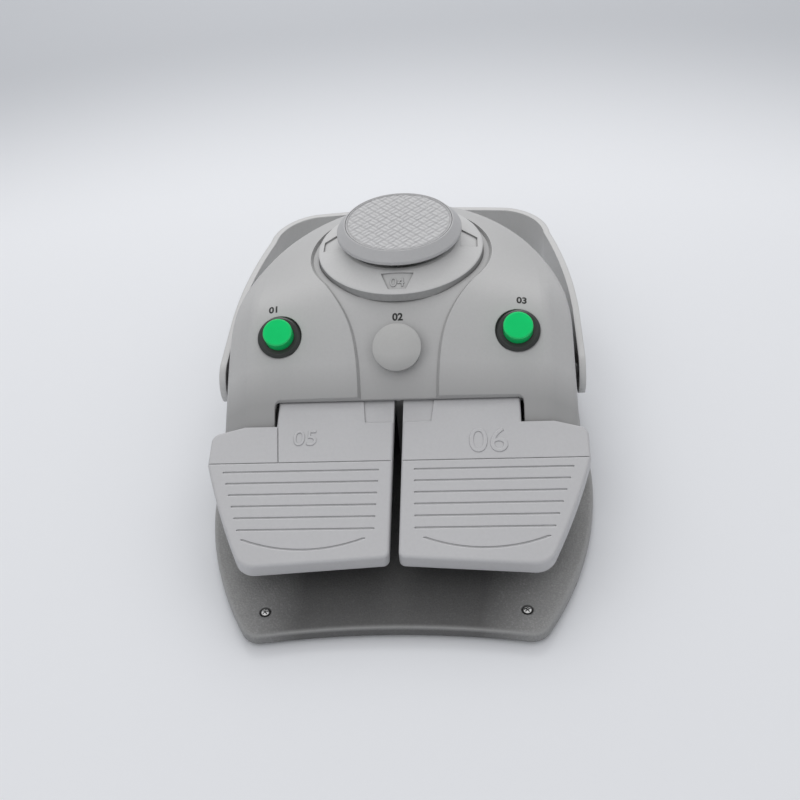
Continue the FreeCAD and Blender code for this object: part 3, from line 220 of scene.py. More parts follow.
class Finish:
    """The material of one kind of surface."""

    def __init__(self, name):
        self.material = bpy.data.materials.new(name)
        self.material.use_nodes = True
        self.tree = self.material.node_tree
        self.tree.nodes.clear()
        self.place = self.node("TexCoord").outputs["Object"]

    def node(self, kind, settings=None, values=None):
        """One node: its settings first, then the values or links of its sockets."""
        made = self.tree.nodes.new("ShaderNode" + kind)
        for name, value in (settings or {}).items():
            setattr(made, name, value)
        for name, value in (values or {}).items():
            socket = made.inputs[name]
            value = value.socket if isinstance(value, Number) else value
            if isinstance(value, bpy.types.NodeSocket):
                self.tree.links.new(value, socket)
            else:
                socket.default_value = value
        return made

    def number(self, kind, settings, values, output=0):
        """One output of a new node, ready for a sum."""
        return Number(self.tree, self.node(kind, settings, values).outputs[output])

    def noise(self, scale, detail=2.0, roughness=0.5, stretch=None):
        """Noise from 0 to 1, its scale in waves per metre."""
        place = self.place
        if stretch:
            place = self.stretched(stretch)
        values = {"Vector": place, "Scale": scale, "Detail": detail, "Roughness": roughness}
        return self.number("TexNoise", {}, values)

    def cells(self, scale):
        """Distance to the nearest border of a pattern of cells, its scale in cells per metre."""
        values = {"Vector": self.place, "Scale": scale}
        return self.number("TexVoronoi", {"feature": "DISTANCE_TO_EDGE"}, values)

    def bands(self, direction, scale):
        """Soft bands from 0 to 1 that follow one another in a direction."""
        values = {"Vector": self.place, "Scale": scale}
        return self.number("TexWave", {"bands_direction": direction}, values, "Fac")

    def stretched(self, amounts):
        """The place with each coordinate multiplied."""
        return self.node("VectorMath", {"operation": "MULTIPLY"}, {0: self.place, 1: amounts}).outputs[0]

    def across(self):
        """The place's distance to the right of the middle."""
        return self.number("SeparateXYZ", {}, {0: self.place}, 0)

    def along(self):
        """The place's distance to the rear."""
        return self.number("SeparateXYZ", {}, {0: self.place}, 1)

    def level(self):
        """The place's height."""
        return self.number("SeparateXYZ", {}, {0: self.place}, 2)

    def upright(self):
        """1 where a face looks straight up, 0 where it stands and -1 where it looks down."""
        straight = self.node("NewGeometry").outputs["Normal"]
        return self.number("SeparateXYZ", {}, {0: straight}, 2)

    def far(self, place, point):
        """Distance between a place and a point."""
        return self.number("VectorMath", {"operation": "DISTANCE"}, {0: place, 1: point}, "Value")

    def mixed(self, factor, first, second):
        """One colour blended into another."""
        first, second = [(*c, 1.0) if isinstance(c, tuple) else c for c in (first, second)]
        node = self.node("Mix", {"data_type": "RGBA"}, {0: factor, 6: first, 7: second})
        return node.outputs[2]

    def soft_normal(self, radius):
        """The normal of a surface whose edges look rounded."""
        return self.node("Bevel", {"samples": 6}, {"Radius": radius}).outputs[0]

    def edges(self, soft, strength):
        """1 along sharp edges and 0 on open faces."""
        straight = self.node("NewGeometry").outputs["Normal"]
        match = self.number("VectorMath", {"operation": "DOT_PRODUCT"}, {0: soft, 1: straight}, "Value")
        return ((1.0 - match) * strength).clamped()

    def sideways(self):
        """1 on upright faces and 0 on level ones."""
        return ((0.7 - self.upright()) * 3.0).clamped()

    def hollows(self, reach):
        """1 deep in a groove or beside a close neighbour and 0 in the open, by ambient occlusion: the mask of
        painted shade.
        """
        light = self.number("AmbientOcclusion", {"samples": 8}, {"Distance": reach}, "AO")
        return ((0.85 - light) * 2.0).clamped()

    def bump(self, height, distance, strength=1.0, normal=None):
        """The normal of a surface with a fine relief, over another normal where one is given."""
        values = {"Height": height, "Distance": distance, "Strength": strength}
        if normal:
            values["Normal"] = normal
        return self.node("Bump", {}, values).outputs[0]

    def done(self, **values):
        """Closes the tree with the main shader; the values are its sockets."""
        named = {key.replace("_", " ").title().replace("Ior", "IOR"): value for key, value in values.items()}
        shader = self.node("BsdfPrincipled", {}, named)
        self.node("OutputMaterial", {}, {"Surface": shader.outputs[0]})
        return self.material


def shaded(tone, amount):
    """A colour made lighter or darker."""
    return tuple(min(1.0, max(0.0, channel * amount)) for channel in tone)


# Finishes

def moulded_plastic(name, tone, soft_edge, grain=1500.0, roughness=0.55, mottle=0.035, edge_wear_and_highlight=1.16,
                    reach=6.0 * MM, side=1.0, front_shade=1.0):
    """Grey plastic from a sparked mould, with fine grain and slow clouding. Its edges are paler, partly from
    use and partly a painted highlight. Painted shade darkens its hollows, its upright faces unless that tone
    is left at 1, and its front unless that is left at 1."""
    front_shade_from = -22.0 * MM
    finish = Finish(name)
    soft = finish.soft_normal(soft_edge)
    cloud = finish.noise(22.0, 3.0)
    speck = finish.noise(grain * 0.45, 2.0, 0.6)
    fine = finish.noise(grain, 3.0, 0.65)
    # Paler along edges: partly from use, partly a painted highlight.
    rub_and_highlight = (finish.edges(soft, 6.0) * (finish.noise(180.0, 2.0) + 0.25)).clamped()
    clean = finish.mixed(cloud, shaded(tone, 1.0 - mottle), shaded(tone, 1.0 + mottle))
    # Painted shade: upright faces take another tone.
    plain = finish.mixed(finish.sideways(), clean, shaded(tone, side))
    grained = finish.mixed((speck - 0.35).clamped() * 0.5, plain, shaded(tone, 0.82))
    worn_lit_and_shaded = finish.mixed(rub_and_highlight, grained, shaded(tone, edge_wear_and_highlight))
    # Painted shade: darker forward of a line across the front.
    if front_shade < 1.0:
        front = ((front_shade_from - finish.along()) * 60.0).clamped()
        worn_lit_and_shaded = finish.mixed(front * 0.85, worn_lit_and_shaded, shaded(tone, front_shade))
    # Painted shade: darker in grooves and beside close neighbours, as ambient occlusion finds them.
    hollow_shaded = finish.mixed(finish.hollows(reach) * 0.9, worn_lit_and_shaded, shaded(tone, 0.42))
    return finish.done(base_color=hollow_shaded, roughness=roughness + (cloud - 0.5) * 0.08 - rub_and_highlight * 0.12,
                       normal=finish.bump(fine, 0.05 * MM, 0.55, soft))


def woven_plastic(name, tone, low, high):
    """The moulded pad: painted shade low in its weave, paler tops that are partly from use and partly a
    painted highlight, and pale specks of dust.
    """
    finish = Finish(name)
    rise = ((finish.level() - low) * (1.0 / (high - low))).clamped()
    dust = finish.noise(520.0, 4.0, 0.7)
    fine = finish.noise(1900.0, 2.0)
    # Painted shade low in the weave and a painted highlight on its tops, by height, with random specks of
    # dust.
    pale = (rise * 0.7 + (dust - 0.4) * 1.6).clamped()
    plain = finish.mixed(pale, shaded(tone, 0.84), shaded(tone, 1.1))
    return finish.done(base_color=plain, roughness=0.56 - rise * 0.1,
                       normal=finish.bump(fine, 0.02 * MM, 0.6))


def leather_plastic(name, tone, soft_edge, screws):
    """Base plastic with a leather grain. Painted shade darkens its middle and the gaps round its screws, a
    painted sheen lightens its flares and their grain, and its sloping faces are paler, partly from use and
    partly a painted highlight.
    """
    flare_from = 45.0 * MM
    screw_shade_radius = 3.3 * MM
    finish = Finish(name)
    soft = finish.soft_normal(soft_edge * 1.6)
    cloud = finish.noise(16.0, 3.0)
    wrinkle = finish.cells(640.0)
    pebble = finish.noise(800.0, 4.0, 0.7)
    upright = finish.upright()
    # Paler on sloping faces such as the lip: partly from use, partly a painted highlight.
    rub_and_highlight = ((1.0 - upright) * 3.0).clamped() * (upright * 1.4 + 0.1).clamped()
    # Painted shade in the middle and painted light on the flares, by distance from the middle.
    flank = ((abs(finish.across()) - flare_from) * 22.0 + (cloud - 0.5) * 0.5).clamped()
    height = (wrinkle * 5.0).clamped() * 0.5 + pebble
    plain = finish.mixed(flank, shaded(tone, 0.42), shaded(tone, 1.75))
    # Painted sheen: pale specks of the grain on the flares.
    grain_sheen = finish.mixed(((pebble - 0.5) * 5.0).clamped() * (flank * 0.7 + 0.1), plain, shaded(tone, 2.1))
    grained = finish.mixed((1.0 - wrinkle * 6.0).clamped() * 0.25, grain_sheen, shaded(tone, 0.55))
    worn_lit_and_shaded = finish.mixed(rub_and_highlight * 0.8, grained, shaded(tone, 1.7))
    flat = finish.stretched((1.0, 1.0, 0.0))
    # Painted shade in the gaps round the screw heads.
    for screw in screws:
        near = ((screw_shade_radius - finish.far(flat, (screw.x, screw.y, 0.0))) * 3000.0).clamped()
        worn_lit_and_shaded = finish.mixed(near * 0.85, worn_lit_and_shaded, shaded(tone, 0.1))
    return finish.done(base_color=worn_lit_and_shaded, roughness=0.62 - rub_and_highlight * 0.15 + (pebble - 0.5) * 0.1,
                       normal=finish.bump(height, 0.2 * MM, 1.0, soft))


def gloss_plastic(name, tone, soft_edge, rim):
    """Shiny coloured plastic with faint flow marks, painted shade on its upright sides and a painted
    highlight along its edges.
    """
    finish = Finish(name)
    soft = finish.soft_normal(soft_edge)
    cloud = finish.noise(90.0, 2.0)
    lip = finish.edges(soft, 5.0)
    flow = finish.noise(260.0, 2.0, 0.5)
    plain = finish.mixed(cloud, shaded(tone, 0.9), shaded(tone, 1.08))
    # Painted shade on upright sides.
    side_shaded = finish.mixed(finish.sideways() * 0.8, plain, shaded(tone, 0.6))
    # Painted highlight along the edges, in the rim colour.
    edged = finish.mixed(lip, side_shaded, rim)
    return finish.done(base_color=edged, roughness=0.38 + (flow - 0.5) * 0.12, specular_ior_level=0.15,
                       normal=finish.bump(flow, 0.02 * MM, 0.5, soft))


def satin_plastic(name, tone, soft_edge):
    """Dark technical plastic, smooth with a faint grain, with a painted highlight along its edges."""
    finish = Finish(name)
    soft = finish.soft_normal(soft_edge)
    fine = finish.noise(1400.0, 2.0)
    lip = finish.edges(soft, 4.0)
    plain = finish.mixed(finish.noise(60.0), shaded(tone, 0.85), shaded(tone, 1.2))
    # Painted highlight along the edges.
    edged = finish.mixed(lip * 0.5, plain, (0.09, 0.095, 0.09))
    return finish.done(base_color=edged, roughness=0.38 + (fine - 0.5) * 0.15,
                       normal=finish.bump(fine, 0.02 * MM, 0.6, soft))


def rubber(name, tone):
    """Matt rubber with a bloom of dust."""
    finish = Finish(name)
    dust = finish.noise(140.0, 4.0)
    fine = finish.noise(1900.0, 2.0)
    plain = finish.mixed((dust - 0.4).clamped(), tone, shaded(tone, 2.4))
    return finish.done(base_color=plain, roughness=0.82 + (dust - 0.5) * 0.1,
                       normal=finish.bump(fine, 0.03 * MM))


def plated_steel(name, tone, roughness=0.28):
    """Plated screw steel with fine turning marks and a few dull spots."""
    finish = Finish(name)
    marks = finish.noise(900.0, 2.0, 0.5, (1.0, 1.0, 6.0))
    spots = finish.noise(300.0, 3.0)
    plain = finish.mixed(spots, shaded(tone, 0.8), shaded(tone, 1.1))
    return finish.done(base_color=plain, metallic=1.0, roughness=roughness + (spots - 0.5) * 0.2,
                       normal=finish.bump(marks, 0.01 * MM, 0.5))


def recess_shaded_steel(name, tone, top):
    """Plated screw head, dark and dull as painted shade in its cross recess and round its low rim."""
    unshaded_depth = 0.42 * MM
    finish = Finish(name)
    # Painted shade: all that lies lower than a little under the top turns dark and dull.
    recess_shade = ((top - unshaded_depth - finish.level()) * 6000.0).clamped()
    marks = finish.noise(900.0, 2.0)
    plain = finish.mixed(marks, shaded(tone, 1.1), shaded(tone, 1.45))
    return finish.done(base_color=finish.mixed(recess_shade, plain, (0.02, 0.02, 0.02)), metallic=1.0 - recess_shade,
                       roughness=0.22 + recess_shade * 0.5, normal=finish.bump(marks, 0.01 * MM, 0.5))


def painted_steel(name, tone):
    """Sheet steel under a satin grey paint with orange peel."""
    finish = Finish(name)
    peel = finish.noise(420.0, 2.0)
    soft = finish.soft_normal(0.4 * MM)
    chipped = finish.edges(soft, 3.0) * (finish.noise(120.0, 3.0) * 2.0 - 0.9).clamped()
    plain = finish.mixed(finish.noise(18.0, 3.0), shaded(tone, 0.9), shaded(tone, 1.1))
    return finish.done(base_color=finish.mixed(chipped, plain, (0.5, 0.5, 0.5)), metallic=chipped,
                       roughness=0.45 + (peel - 0.5) * 0.1, normal=finish.bump(peel, 0.03 * MM, 0.6, soft))


def laminate(name, tone):
    """Lacquered glass-weave board."""
    finish = Finish(name)
    cloth = finish.bands("X", 260.0) * finish.bands("Y", 260.0)
    return finish.done(base_color=finish.mixed(cloth, shaded(tone, 0.8), shaded(tone, 1.25)),
                       roughness=0.3 + cloth * 0.1, normal=finish.bump(cloth, 0.01 * MM))


def printed_ink(name, tone):
    """Pad-printed ink, a little uneven where the grain shows through."""
    finish = Finish(name)
    thin = (finish.noise(1600.0, 2.0) - 0.55).clamped()
    return finish.done(base_color=finish.mixed(thin, tone, (0.12, 0.12, 0.12)), roughness=0.5 + thin * 0.2)


def repaint(material, *nodes):
    """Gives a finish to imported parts, on their own material slots."""
    for name in nodes:
        for slot in frame["nodes"][name].material_slots:
            slot.link = "OBJECT"
            slot.material = material


# Mesh work

def placed(name, data):
    """A new object in the scene."""
    made = bpy.data.objects.new(name, data)
    bpy.context.scene.collection.objects.link(made)
    return made


def ring(work, centre, radius, spokes, height, start=0.0):
    """A closed row of points round a centre. Height is a number, or a function of (x, y) from the centre."""
    row = []
    for k in range(spokes):
        angle = 2.0 * math.pi * k / spokes + start
        x = radius * math.cos(angle)
        y = radius * math.sin(angle)
        z = height(x, y) if callable(height) else height
        row.append(work.verts.new((centre.x + x, centre.y + y, z)))
    return row


def fill(work, rings, first, last=None):
    """Faces from a first point over the rings and, where it is given, to a last point."""
    spokes = len(rings[0])
    for k in range(spokes):
        after = (k + 1) % spokes
        work.faces.new((first, rings[0][k], rings[0][after]))
        for inner, outer in zip(rings, rings[1:]):
            work.faces.new((inner[k], outer[k], outer[after], inner[after]))
        if last is not None:
            work.faces.new((last, rings[-1][after], rings[-1][k]))


def smooth_mesh(name, work):
    """Turns mesh work into mesh data with smooth shading."""
    data = bpy.data.meshes.new(name)
    work.to_mesh(data)
    work.free()
    data.shade_smooth()
    return data


def new_piece(name, mesh, material, body, slot, *stands_for):
    """An object for a mesh, in its material, moving with a body."""
    piece = placed(name, mesh)
    mesh.materials.clear()
    mesh.materials.append(material)
    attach(piece, body)
    if stands_for:
        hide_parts(*stands_for)
    return piece


def sprung(node, joint, travel, material):
    """A copy of a packed spring, on its own mesh, that takes the spring's place; the share of its length left
    after travel is worked out but not applied.
    """
    row = next(row for row in frame["record"]["behaviour"]["joints"] if row["name"] == joint)
    press = Vector(row["axis"]) if row["type"] == "slide" else -UP
    mesh = frame["nodes"][node].data.copy()
    ends = sorted((vertex.co.copy() for vertex in mesh.vertices), key=press.dot)
    full = (ends[-1] - ends[0]).dot(press)
    piece = new_piece(node + "_coil", mesh, material, "frame", "bright_steel", node)
    1.0 - travel / full
    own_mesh(piece)


def laid_on(node, mesh, x, y):
    """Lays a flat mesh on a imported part's top round (x, y), with each point at its own height over it."""
    overhead = 1.0
    clearance = 2.0 * MM
    data = frame["nodes"][node].data
    tree = BVHTree.FromPolygons([v.co for v in data.vertices], [p.vertices for p in data.polygons])
    point, normal, _, _ = tree.ray_cast(Vector((x, y, overhead)), -UP)
    across = REAR.cross(normal).normalized()
    along = normal.cross(across)
    for vertex in mesh.vertices:
        flat = point + across * vertex.co.x + along * vertex.co.y
        spot = tree.ray_cast(flat + normal * clearance, -normal)[0]
        vertex.co = spot + normal * vertex.co.z
    return mesh


def figure_mesh(name, text, height, rise, chamfer, sink, weight=0.0):
    """A plain number as a mesh that lies on XY round the origin, from sink below it to rise above it.
    Its long edges are cut up so that it can follow a curved surface. Weight thickens its strokes."""
    curve = bpy.data.curves.new(name, "FONT")
    curve.body = text
    curve.resolution_u = 6
    source = placed(name, curve)
    bpy.context.view_layer.update()
    scale = height / source.dimensions.y
    curve.extrude = (rise + sink) / 2.0 / scale - chamfer / scale
    curve.bevel_depth = chamfer / scale
    curve.bevel_resolution = 1
    curve.offset = (weight - chamfer) / scale
    bpy.context.view_layer.update()
    mesh = bpy.data.meshes.new_from_object(source.evaluated_get(bpy.context.evaluated_depsgraph_get()))
    bpy.data.objects.remove(source)
    low = Vector([min(v.co[i] for v in mesh.vertices) for i in range(3)])
    high = Vector([max(v.co[i] for v in mesh.vertices) for i in range(3)])
    centred = Matrix.Translation(-(low + high) / 2.0)
    mesh.transform(Matrix.Translation((0, 0, (rise - sink) / 2.0)) @ Matrix.Scale(scale, 4) @ centred)
    work = bmesh.new()
    work.from_mesh(mesh)
    bmesh.ops.remove_doubles(work, verts=work.verts, dist=1e-6)
    for longest in (2.4 * MM, 1.2 * MM, 0.6 * MM):
        long_edges = [edge for edge in work.edges if edge.calc_length() > longest]
        bmesh.ops.subdivide_edges(work, edges=long_edges, cuts=1)
        bmesh.ops.triangulate(work, faces=work.faces)
    work.to_mesh(mesh)
    work.free()
    return mesh


def woven(x, y, pitch):
    """Height from 0 to 1 of a basket weave laid diagonally: blocks of two ridges that change direction."""
    slant = math.radians(43.0)
    u = (x * math.cos(slant) + y * math.sin(slant)) / pitch + 0.5
    v = (-x * math.cos(slant) + y * math.sin(slant)) / pitch + 0.5
    turned = (math.floor(u) + math.floor(v)) % 2 == 0
    across, along = (u, v) if turned else (v, u)
    ridge = abs(math.sin(2.0 * math.pi * across)) ** 0.7
    block = 0.35 + 0.65 * min(1.0, 2.4 * abs(math.sin(math.pi * u) * math.sin(math.pi * v)) ** 0.5)
    bow = abs(math.sin(math.pi * along))
    return block * (0.15 + 0.6 * ridge + 0.25 * bow)


def tread_mesh(name, sizes):
    """The round pad: a woven top inside a plain rim, with its side and underside."""
    fade_width = 0.8 * MM
    lead_width = 0.15 * MM
    lead_drop = 0.1 * MM
    rounding = 0.3 * MM
    low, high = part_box("disc_tread")
    middle = (low + high) / 2.0
    radius = (high.x - low.x) / 2.0
    woven_radius = radius - sizes.tread_rim
    floor = high.z - sizes.tread_height
    spokes = sizes.tread_rings * 6
    rim = (
        (woven_radius + lead_width, high.z - lead_drop),
        (radius - rounding, high.z),
        (radius, high.z - rounding),
        (radius, low.z),
    )

    def surface(x, y):
        fade = min(1.0, (woven_radius - math.hypot(x, y)) / fade_width)
        return floor + woven(x, y, sizes.tread_pitch) * sizes.tread_height * fade

    work = bmesh.new()
    centre = work.verts.new((middle.x, middle.y, floor))
    rings = [ring(work, middle, woven_radius * i / sizes.tread_rings, spokes, surface)
             for i in range(1, sizes.tread_rings + 1)]
    rings += [ring(work, middle, r, spokes, z) for r, z in rim]
    under = work.verts.new((middle.x, middle.y, low.z))
    fill(work, rings, centre, under)
    bmesh.ops.recalc_face_normals(work, faces=work.faces)
    return smooth_mesh(name, work)


def screw_places():
    """The seats of the two front screws' heads."""
    low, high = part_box("front_screws")
    y = (low.y + high.y) / 2.0
    z = high.z - SCREW_HEIGHT
    return [Vector((x, y, z)) for x in (low.x + SCREW_RADIUS, high.x - SCREW_RADIUS)]


def screw_head(x, y):
    """Height of a screw head over its seat: a dome with a cross recess."""
    radius = math.hypot(x, y)
    dome = SCREW_HEIGHT * (1.0 - DOME_FALL * (radius / SCREW_RADIUS) ** DOME_POWER)
    if radius > RECESS_REACH:
        return dome
    lengthwise = abs(x * math.cos(RECESS_ANGLE) + y * math.sin(RECESS_ANGLE))
    crosswise = abs(y * math.cos(RECESS_ANGLE) - x * math.sin(RECESS_ANGLE))
    recess = min(1.0, max(0.0, (RECESS_HALF_WIDTH - min(lengthwise, crosswise)) / RECESS_SLOPE))
    return dome - recess * RECESS_DEPTH


def screw_head_mesh(name, places, low):
    """Heads on their seats, each closed by a short shank that ends at low."""
    steps = 26
    spokes = 72
    start = 0.4
    work = bmesh.new()
    for place in places:
        centre = work.verts.new((place.x, place.y, place.z + SCREW_HEIGHT - RECESS_DEPTH))
        rings = [ring(work, place, SCREW_RADIUS * i / steps, spokes,
                      lambda x, y: place.z + screw_head(x, y), start) for i in range(1, steps + 1)]
        for radius, z in ((SCREW_RADIUS, place.z), (SHANK_RADIUS, place.z), (SHANK_RADIUS, low)):
            rings.append(ring(work, place, radius, spokes, z, start))
        under = work.verts.new((place.x, place.y, low))
        fill(work, rings, centre, under)
    bmesh.ops.recalc_face_normals(work, faces=work.faces)
    return smooth_mesh(name, work)


# Operators, one for each group of pieces

class FOOTSWITCH_OT_housing(bpy.types.Operator):
    """Finish the horseshoe housing, the skirt ring and the carrying handle"""
    bl_idname = "footswitch.housing"
    bl_label = "Housing"

    def execute(self, context):
        settings = context.scene.foot_switch
        tone = tuple(settings.colours.shell)
        soft = settings.sizes.soft_edge
        # The housing: painted shade in its hollows, reaching 9 mm round the knob, and on its front.
        repaint(moulded_plastic("shell_plastic", tone, soft, reach=9.0 * MM, front_shade=0.65), "housing")
        # The skirt: the housing grey made paler as a painted highlight, with painted shade on its upright
        # faces.
        repaint(moulded_plastic("skirt_plastic", shaded(tone, 1.2), soft * 0.7, side=0.5), "skirt_ring")
        repaint(moulded_plastic("handle_plastic", shaded(tone, 1.06), soft, roughness=0.45), "handle")
        return {"FINISHED"}


class FOOTSWITCH_OT_base(bpy.types.Operator):
    """Finish the base moulding, the steel plate and the rubber feet"""
    bl_idname = "footswitch.base"
    bl_label = "Base"

    def execute(self, context):
        colours = context.scene.foot_switch.colours
        soft = context.scene.foot_switch.sizes.soft_edge
        # The base: painted shade in its middle and round its screws, and a painted sheen on its flares.
        repaint(leather_plastic("base_plastic", tuple(colours.base), soft, screw_places()), "base_plate")
        repaint(painted_steel("plate_steel", (0.3, 0.3, 0.31)), "bottom_plate")
        repaint(rubber("rubber", tuple(colours.rubber)), "rubber_feet", "pedal_bumpers", "inlet_grommet")
        return {"FINISHED"}


class FOOTSWITCH_OT_pedals(bpy.types.Operator):
    """Finish the two treadles and put their moulded numbers on them"""
    bl_idname = "footswitch.pedals"
    bl_label = "Treadles"

    def execute(self, context):
        tone = tuple(context.scene.foot_switch.colours.pedal)
        sizes = context.scene.foot_switch.sizes
        # Painted shade in the treadles' grooves, and paler edges, partly from use and partly a painted
        # highlight.
        plastic = moulded_plastic("pedal_plastic", tone, sizes.soft_edge, grain=1300.0, roughness=0.5,
                                  edge_wear_and_highlight=1.45, reach=2.0 * MM)
        repaint(plastic, "left_pedal", "right_pedal")
        for node, text, x, y, share in MOULDED_NUMBERS:
            name = node + "_number"
            mesh = figure_mesh(name, text, sizes.moulded_height * share, rise=sizes.moulded_rise,
                               chamfer=0.1 * MM, sink=0.3 * MM)
            new_piece(name, laid_on(node, mesh, x, y), plastic, node, "pedal_plastic")
        return {"FINISHED"}


class FOOTSWITCH_OT_press_disc(bpy.types.Operator):
    """Finish the press disc and lay its woven pad in it"""
    bl_idname = "footswitch.press_disc"
    bl_label = "Press disc"

    def execute(self, context):
        tone = tuple(context.scene.foot_switch.colours.disc)
        sizes = context.scene.foot_switch.sizes
        repaint(moulded_plastic("disc_plastic", tone, sizes.soft_edge * 0.7), "disc_pedal")
        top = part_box("disc_tread")[1].z
        pad = woven_plastic("pad_plastic", tone, top - sizes.tread_height, top)
        mesh = tread_mesh("woven_pad", sizes)
        new_piece("woven_pad", mesh, pad, "press_disc", "shell_plastic", "disc_tread")
        return {"FINISHED"}


class FOOTSWITCH_OT_controls(bpy.types.Operator):
    """Finish the middle knob and the two push buttons"""
    bl_idname = "footswitch.controls"
    bl_label = "Knob and buttons"

    def execute(self, context):
        colours = context.scene.foot_switch.colours
        soft = context.scene.foot_switch.sizes.soft_edge
        # The knob's upright faces are darker by painted shade.
        repaint(moulded_plastic("knob_plastic", tuple(colours.knob), soft, roughness=0.42, mottle=0.02,
                                side=0.6), "middle_knob")
        # The caps' edges take a painted highlight in a paler green.
        repaint(gloss_plastic("green_plastic", tuple(colours.green), 0.5 * MM, (0.25, 0.85, 0.42)),
                "left_button_cap", "right_button_cap")
        repaint(satin_plastic("black_plastic", tuple(colours.black), 0.4 * MM),
                "left_button_body", "right_button_body", "left_button_nut", "right_button_nut")
        return {"FINISHED"}


class FOOTSWITCH_OT_numbers(bpy.types.Operator):
    """Print the numbers beside the controls and mould the one in the skirt's window"""
    bl_idname = "footswitch.numbers"
    bl_label = "Numbers"

    def execute(self, context):
        sizes = context.scene.foot_switch.sizes
        ink = printed_ink("printed_ink", shaded(context.scene.foot_switch.colours.black, 0.4))
        for text, x, y in PRINTED_NUMBERS:
            name = "printed_" + text
            mesh = figure_mesh(name, text, sizes.printed_height, rise=0.08 * MM, chamfer=0.01 * MM,
                               sink=0.1 * MM, weight=0.2 * MM)
            new_piece(name, laid_on("housing", mesh, x, y), ink, "frame", "black_plastic")
        skirt = frame["nodes"]["skirt_ring"].material_slots[0].material
        mesh = figure_mesh("window_number", "04", sizes.window_height, rise=0.6 * MM, chamfer=0.1 * MM,
                           sink=0.2 * MM)
        new_piece("window_number", laid_on("skirt_ring", mesh, 0.0, WINDOW_NUMBER_Y), skirt, "frame",
                  "shell_plastic")
        return {"FINISHED"}


class FOOTSWITCH_OT_fasteners(bpy.types.Operator):
    """Make the cross-recess front screws and finish the pins, clips and springs"""
    bl_idname = "footswitch.fasteners"
    bl_label = "Fasteners and springs"

    def execute(self, context):
        tone = tuple(context.scene.foot_switch.colours.steel)
        plated = plated_steel("bright_steel", tone)
        repaint(plated, "housing_screws", "skirt_screws", "board_screws", "hinge_shaft", "shaft_clips",
                "disc_stem", "disc_clip", "disc_nut", "disc_bush",
                "knob_stem", "knob_clip", "knob_nut", "knob_bush")
        pale = (0.40, 0.40, 0.395)
        dark = (0.10, 0.10, 0.10)
        repaint(moulded_plastic("pivot_nylon", pale, 0.3 * MM, roughness=0.45), "handle_pivots")
        repaint(satin_plastic("washer_nylon", dark, 0.2 * MM), "handle_washers")
        wire = plated_steel("spring_steel", shaded(tone, 0.75), 0.36)
        for spring, joint, travel in SPRINGS:
            repaint(wire, spring)
            sprung(spring, joint, travel, wire)
        places = screw_places()
        mesh = screw_head_mesh("front_screw_heads", places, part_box("front_screws")[0].z)
        # The screw heads: painted shade in their cross recesses and round their rims.
        heads = recess_shaded_steel("recess_shaded_steel", tone, places[0].z + SCREW_HEIGHT)
        new_piece("front_screw_heads", mesh, heads, "frame", "bright_steel", "front_screws")
        return {"FINISHED"}


class FOOTSWITCH_OT_inner_parts(bpy.types.Operator):
    """Finish the switches, the terminal board and its block"""
    bl_idname = "footswitch.inner_parts"
    bl_label = "Inner parts"

    def execute(self, context):
        black = (0.045, 0.045, 0.05)
        green = (0.07, 0.24, 0.11)
        cream = (0.72, 0.71, 0.64)
        repaint(satin_plastic("switch_plastic", black, 0.3 * MM),
                "disc_switch", "knob_switch", "left_pedal_switch", "right_pedal_switch")
        repaint(laminate("board_laminate", green), "terminal_board")
        repaint(moulded_plastic("terminal_plastic", cream, 0.3 * MM, roughness=0.4), "terminal_block")
        return {"FINISHED"}


class FOOTSWITCH_OT_studio(bpy.types.Operator):
    """Set up the pale floor and backdrop, the soft lamps and the camera"""
    bl_idname = "footswitch.studio"
    bl_label = "Studio"

    def execute(self, context):
        stage = context.scene.foot_switch.stage
        floor = bowl("studio_paper", flat=2.0, bend=1.2)
        floor.data.materials.append(studio_paper(tuple(stage.floor), tuple(stage.backdrop)))
        lamp("rear_lamp", place=(-0.1, 1.2, 1.0), size=1.3, power=8.5)
        lamp("front_lamp", place=(-0.5, -1.2, 1.2), size=1.2, power=2.5)
        air = bpy.data.worlds.new("studio_air")
        air.use_nodes = True
        light = air.node_tree.nodes["Background"].inputs
        light["Color"].default_value = AIR_COLOUR
        light["Strength"].default_value = AIR_STRENGTH
        context.scene.world = air
        context.scene.camera = camera(stage)
        context.scene.view_settings.view_transform = "Standard"
        return {"FINISHED"}


# Studio

def bowl(name, flat, bend):
    """Round paper floor that curves up into a wall all round, without a seam."""
    steps = 24
    spokes = 96
    profile = [(0.3, 0.0), (flat, 0.0)]
    for i in range(1, steps + 1):
        angle = math.pi / 2 * i / steps
        profile.append((flat + bend * math.sin(angle), bend * (1 - math.cos(angle))))
    work = bmesh.new()
    middle = Vector((0, 0, 0))
    centre = work.verts.new(middle)
    fill(work, [ring(work, middle, radius, spokes, z) for radius, z in profile], centre)
    return placed(name, smooth_mesh(name, work))


def studio_paper(near, far):
    """Matt paper with a painted pool of light round a middle point and painted shade, darker and cooler,
    away from it.
    """
    finish = Finish("studio_paper")
    light_pool_middle = (0.0, -0.6, 0.0)
    light_pool_radius = 0.88
    # Painted pool of light: the paper turns darker and cooler past a radius round the middle point.
    away = ((finish.far(finish.place, light_pool_middle) - light_pool_radius) * 2.6).clamped()
    tone = finish.mixed(away * away * (3.0 - away * 2.0), near, far)
    return finish.done(base_color=tone, roughness=0.9, specular_ior_level=0.1)


def lamp(name, place, size, power):
    """A round soft lamp that points at the foot switch."""
    data = bpy.data.lights.new(name, "AREA")
    data.shape = "DISK"
    data.size = size
    data.energy = power
    made = placed(name, data)
    made.location = place
    made.rotation_euler = (Vector(LAMP_TARGET) - Vector(place)).to_track_quat("-Z", "Y").to_euler()


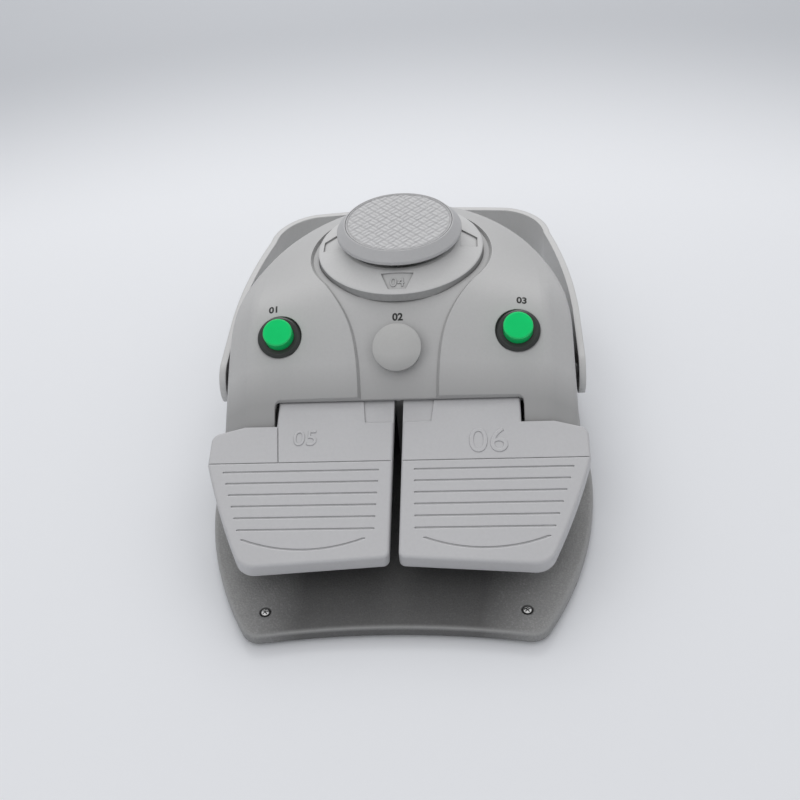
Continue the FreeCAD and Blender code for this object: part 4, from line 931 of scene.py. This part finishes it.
def camera(stage):
    """The camera at the photograph's place, turned by the angles of the stage's settings."""
    back = Vector((math.sin(stage.azimuth) * math.cos(stage.elevation),
                   -math.cos(stage.azimuth) * math.cos(stage.elevation), math.sin(stage.elevation)))
    right = (-back).cross(UP).normalized()
    up = right.cross(-back)
    across = right * math.cos(stage.roll) - up * math.sin(stage.roll)
    rising = right * math.sin(stage.roll) + up * math.cos(stage.roll)
    data = bpy.data.cameras.new("photo_camera")
    data.lens = stage.lens
    data.sensor_width = 36.0
    data.clip_start = 0.01
    made = placed("photo_camera", data)
    facing = Matrix((across, rising, back)).transposed().to_4x4()
    made.matrix_world = Matrix.Translation(CAMERA_PLACE) @ facing
    return made


OPERATORS = (
    FOOTSWITCH_OT_studio, FOOTSWITCH_OT_housing, FOOTSWITCH_OT_base,
    FOOTSWITCH_OT_pedals, FOOTSWITCH_OT_press_disc, FOOTSWITCH_OT_controls,
    FOOTSWITCH_OT_numbers, FOOTSWITCH_OT_fasteners, FOOTSWITCH_OT_inner_parts,
)


class FOOTSWITCH_PT_panel(bpy.types.Panel):
    """Buttons and settings for the foot switch"""
    bl_idname = "FOOTSWITCH_PT_panel"
    bl_label = "Foot Switch"
    bl_space_type = "VIEW_3D"
    bl_region_type = "UI"
    bl_category = "Foot Switch"

    def draw(self, context):
        settings = context.scene.foot_switch
        for group in (settings.colours, settings.sizes, settings.stage):
            box = self.layout.box()
            for name in group.bl_rna.properties.keys():
                if name not in ("rna_type", "name"):
                    box.prop(group, name)
        column = self.layout.column(align=True)
        for operator in OPERATORS:
            column.operator(operator.bl_idname)


CLASSES = (FinishColours, DetailSizes, StageSettings, FootSwitchSettings, *OPERATORS, FOOTSWITCH_PT_panel)


def register():
    for item in CLASSES:
        bpy.utils.register_class(item)
    bpy.types.Scene.foot_switch = PointerProperty(type=FootSwitchSettings)


def unregister():
    del bpy.types.Scene.foot_switch
    for item in reversed(CLASSES):
        bpy.utils.unregister_class(item)


def main():
    register()
    bpy.ops.footswitch.studio()
    bpy.ops.footswitch.housing()
    bpy.ops.footswitch.base()
    bpy.ops.footswitch.pedals()
    bpy.ops.footswitch.press_disc()
    bpy.ops.footswitch.controls()
    bpy.ops.footswitch.numbers()
    bpy.ops.footswitch.fasteners()
    bpy.ops.footswitch.inner_parts()
    bpy.context.view_layer.update()


if __name__ == "__main__":
    main()
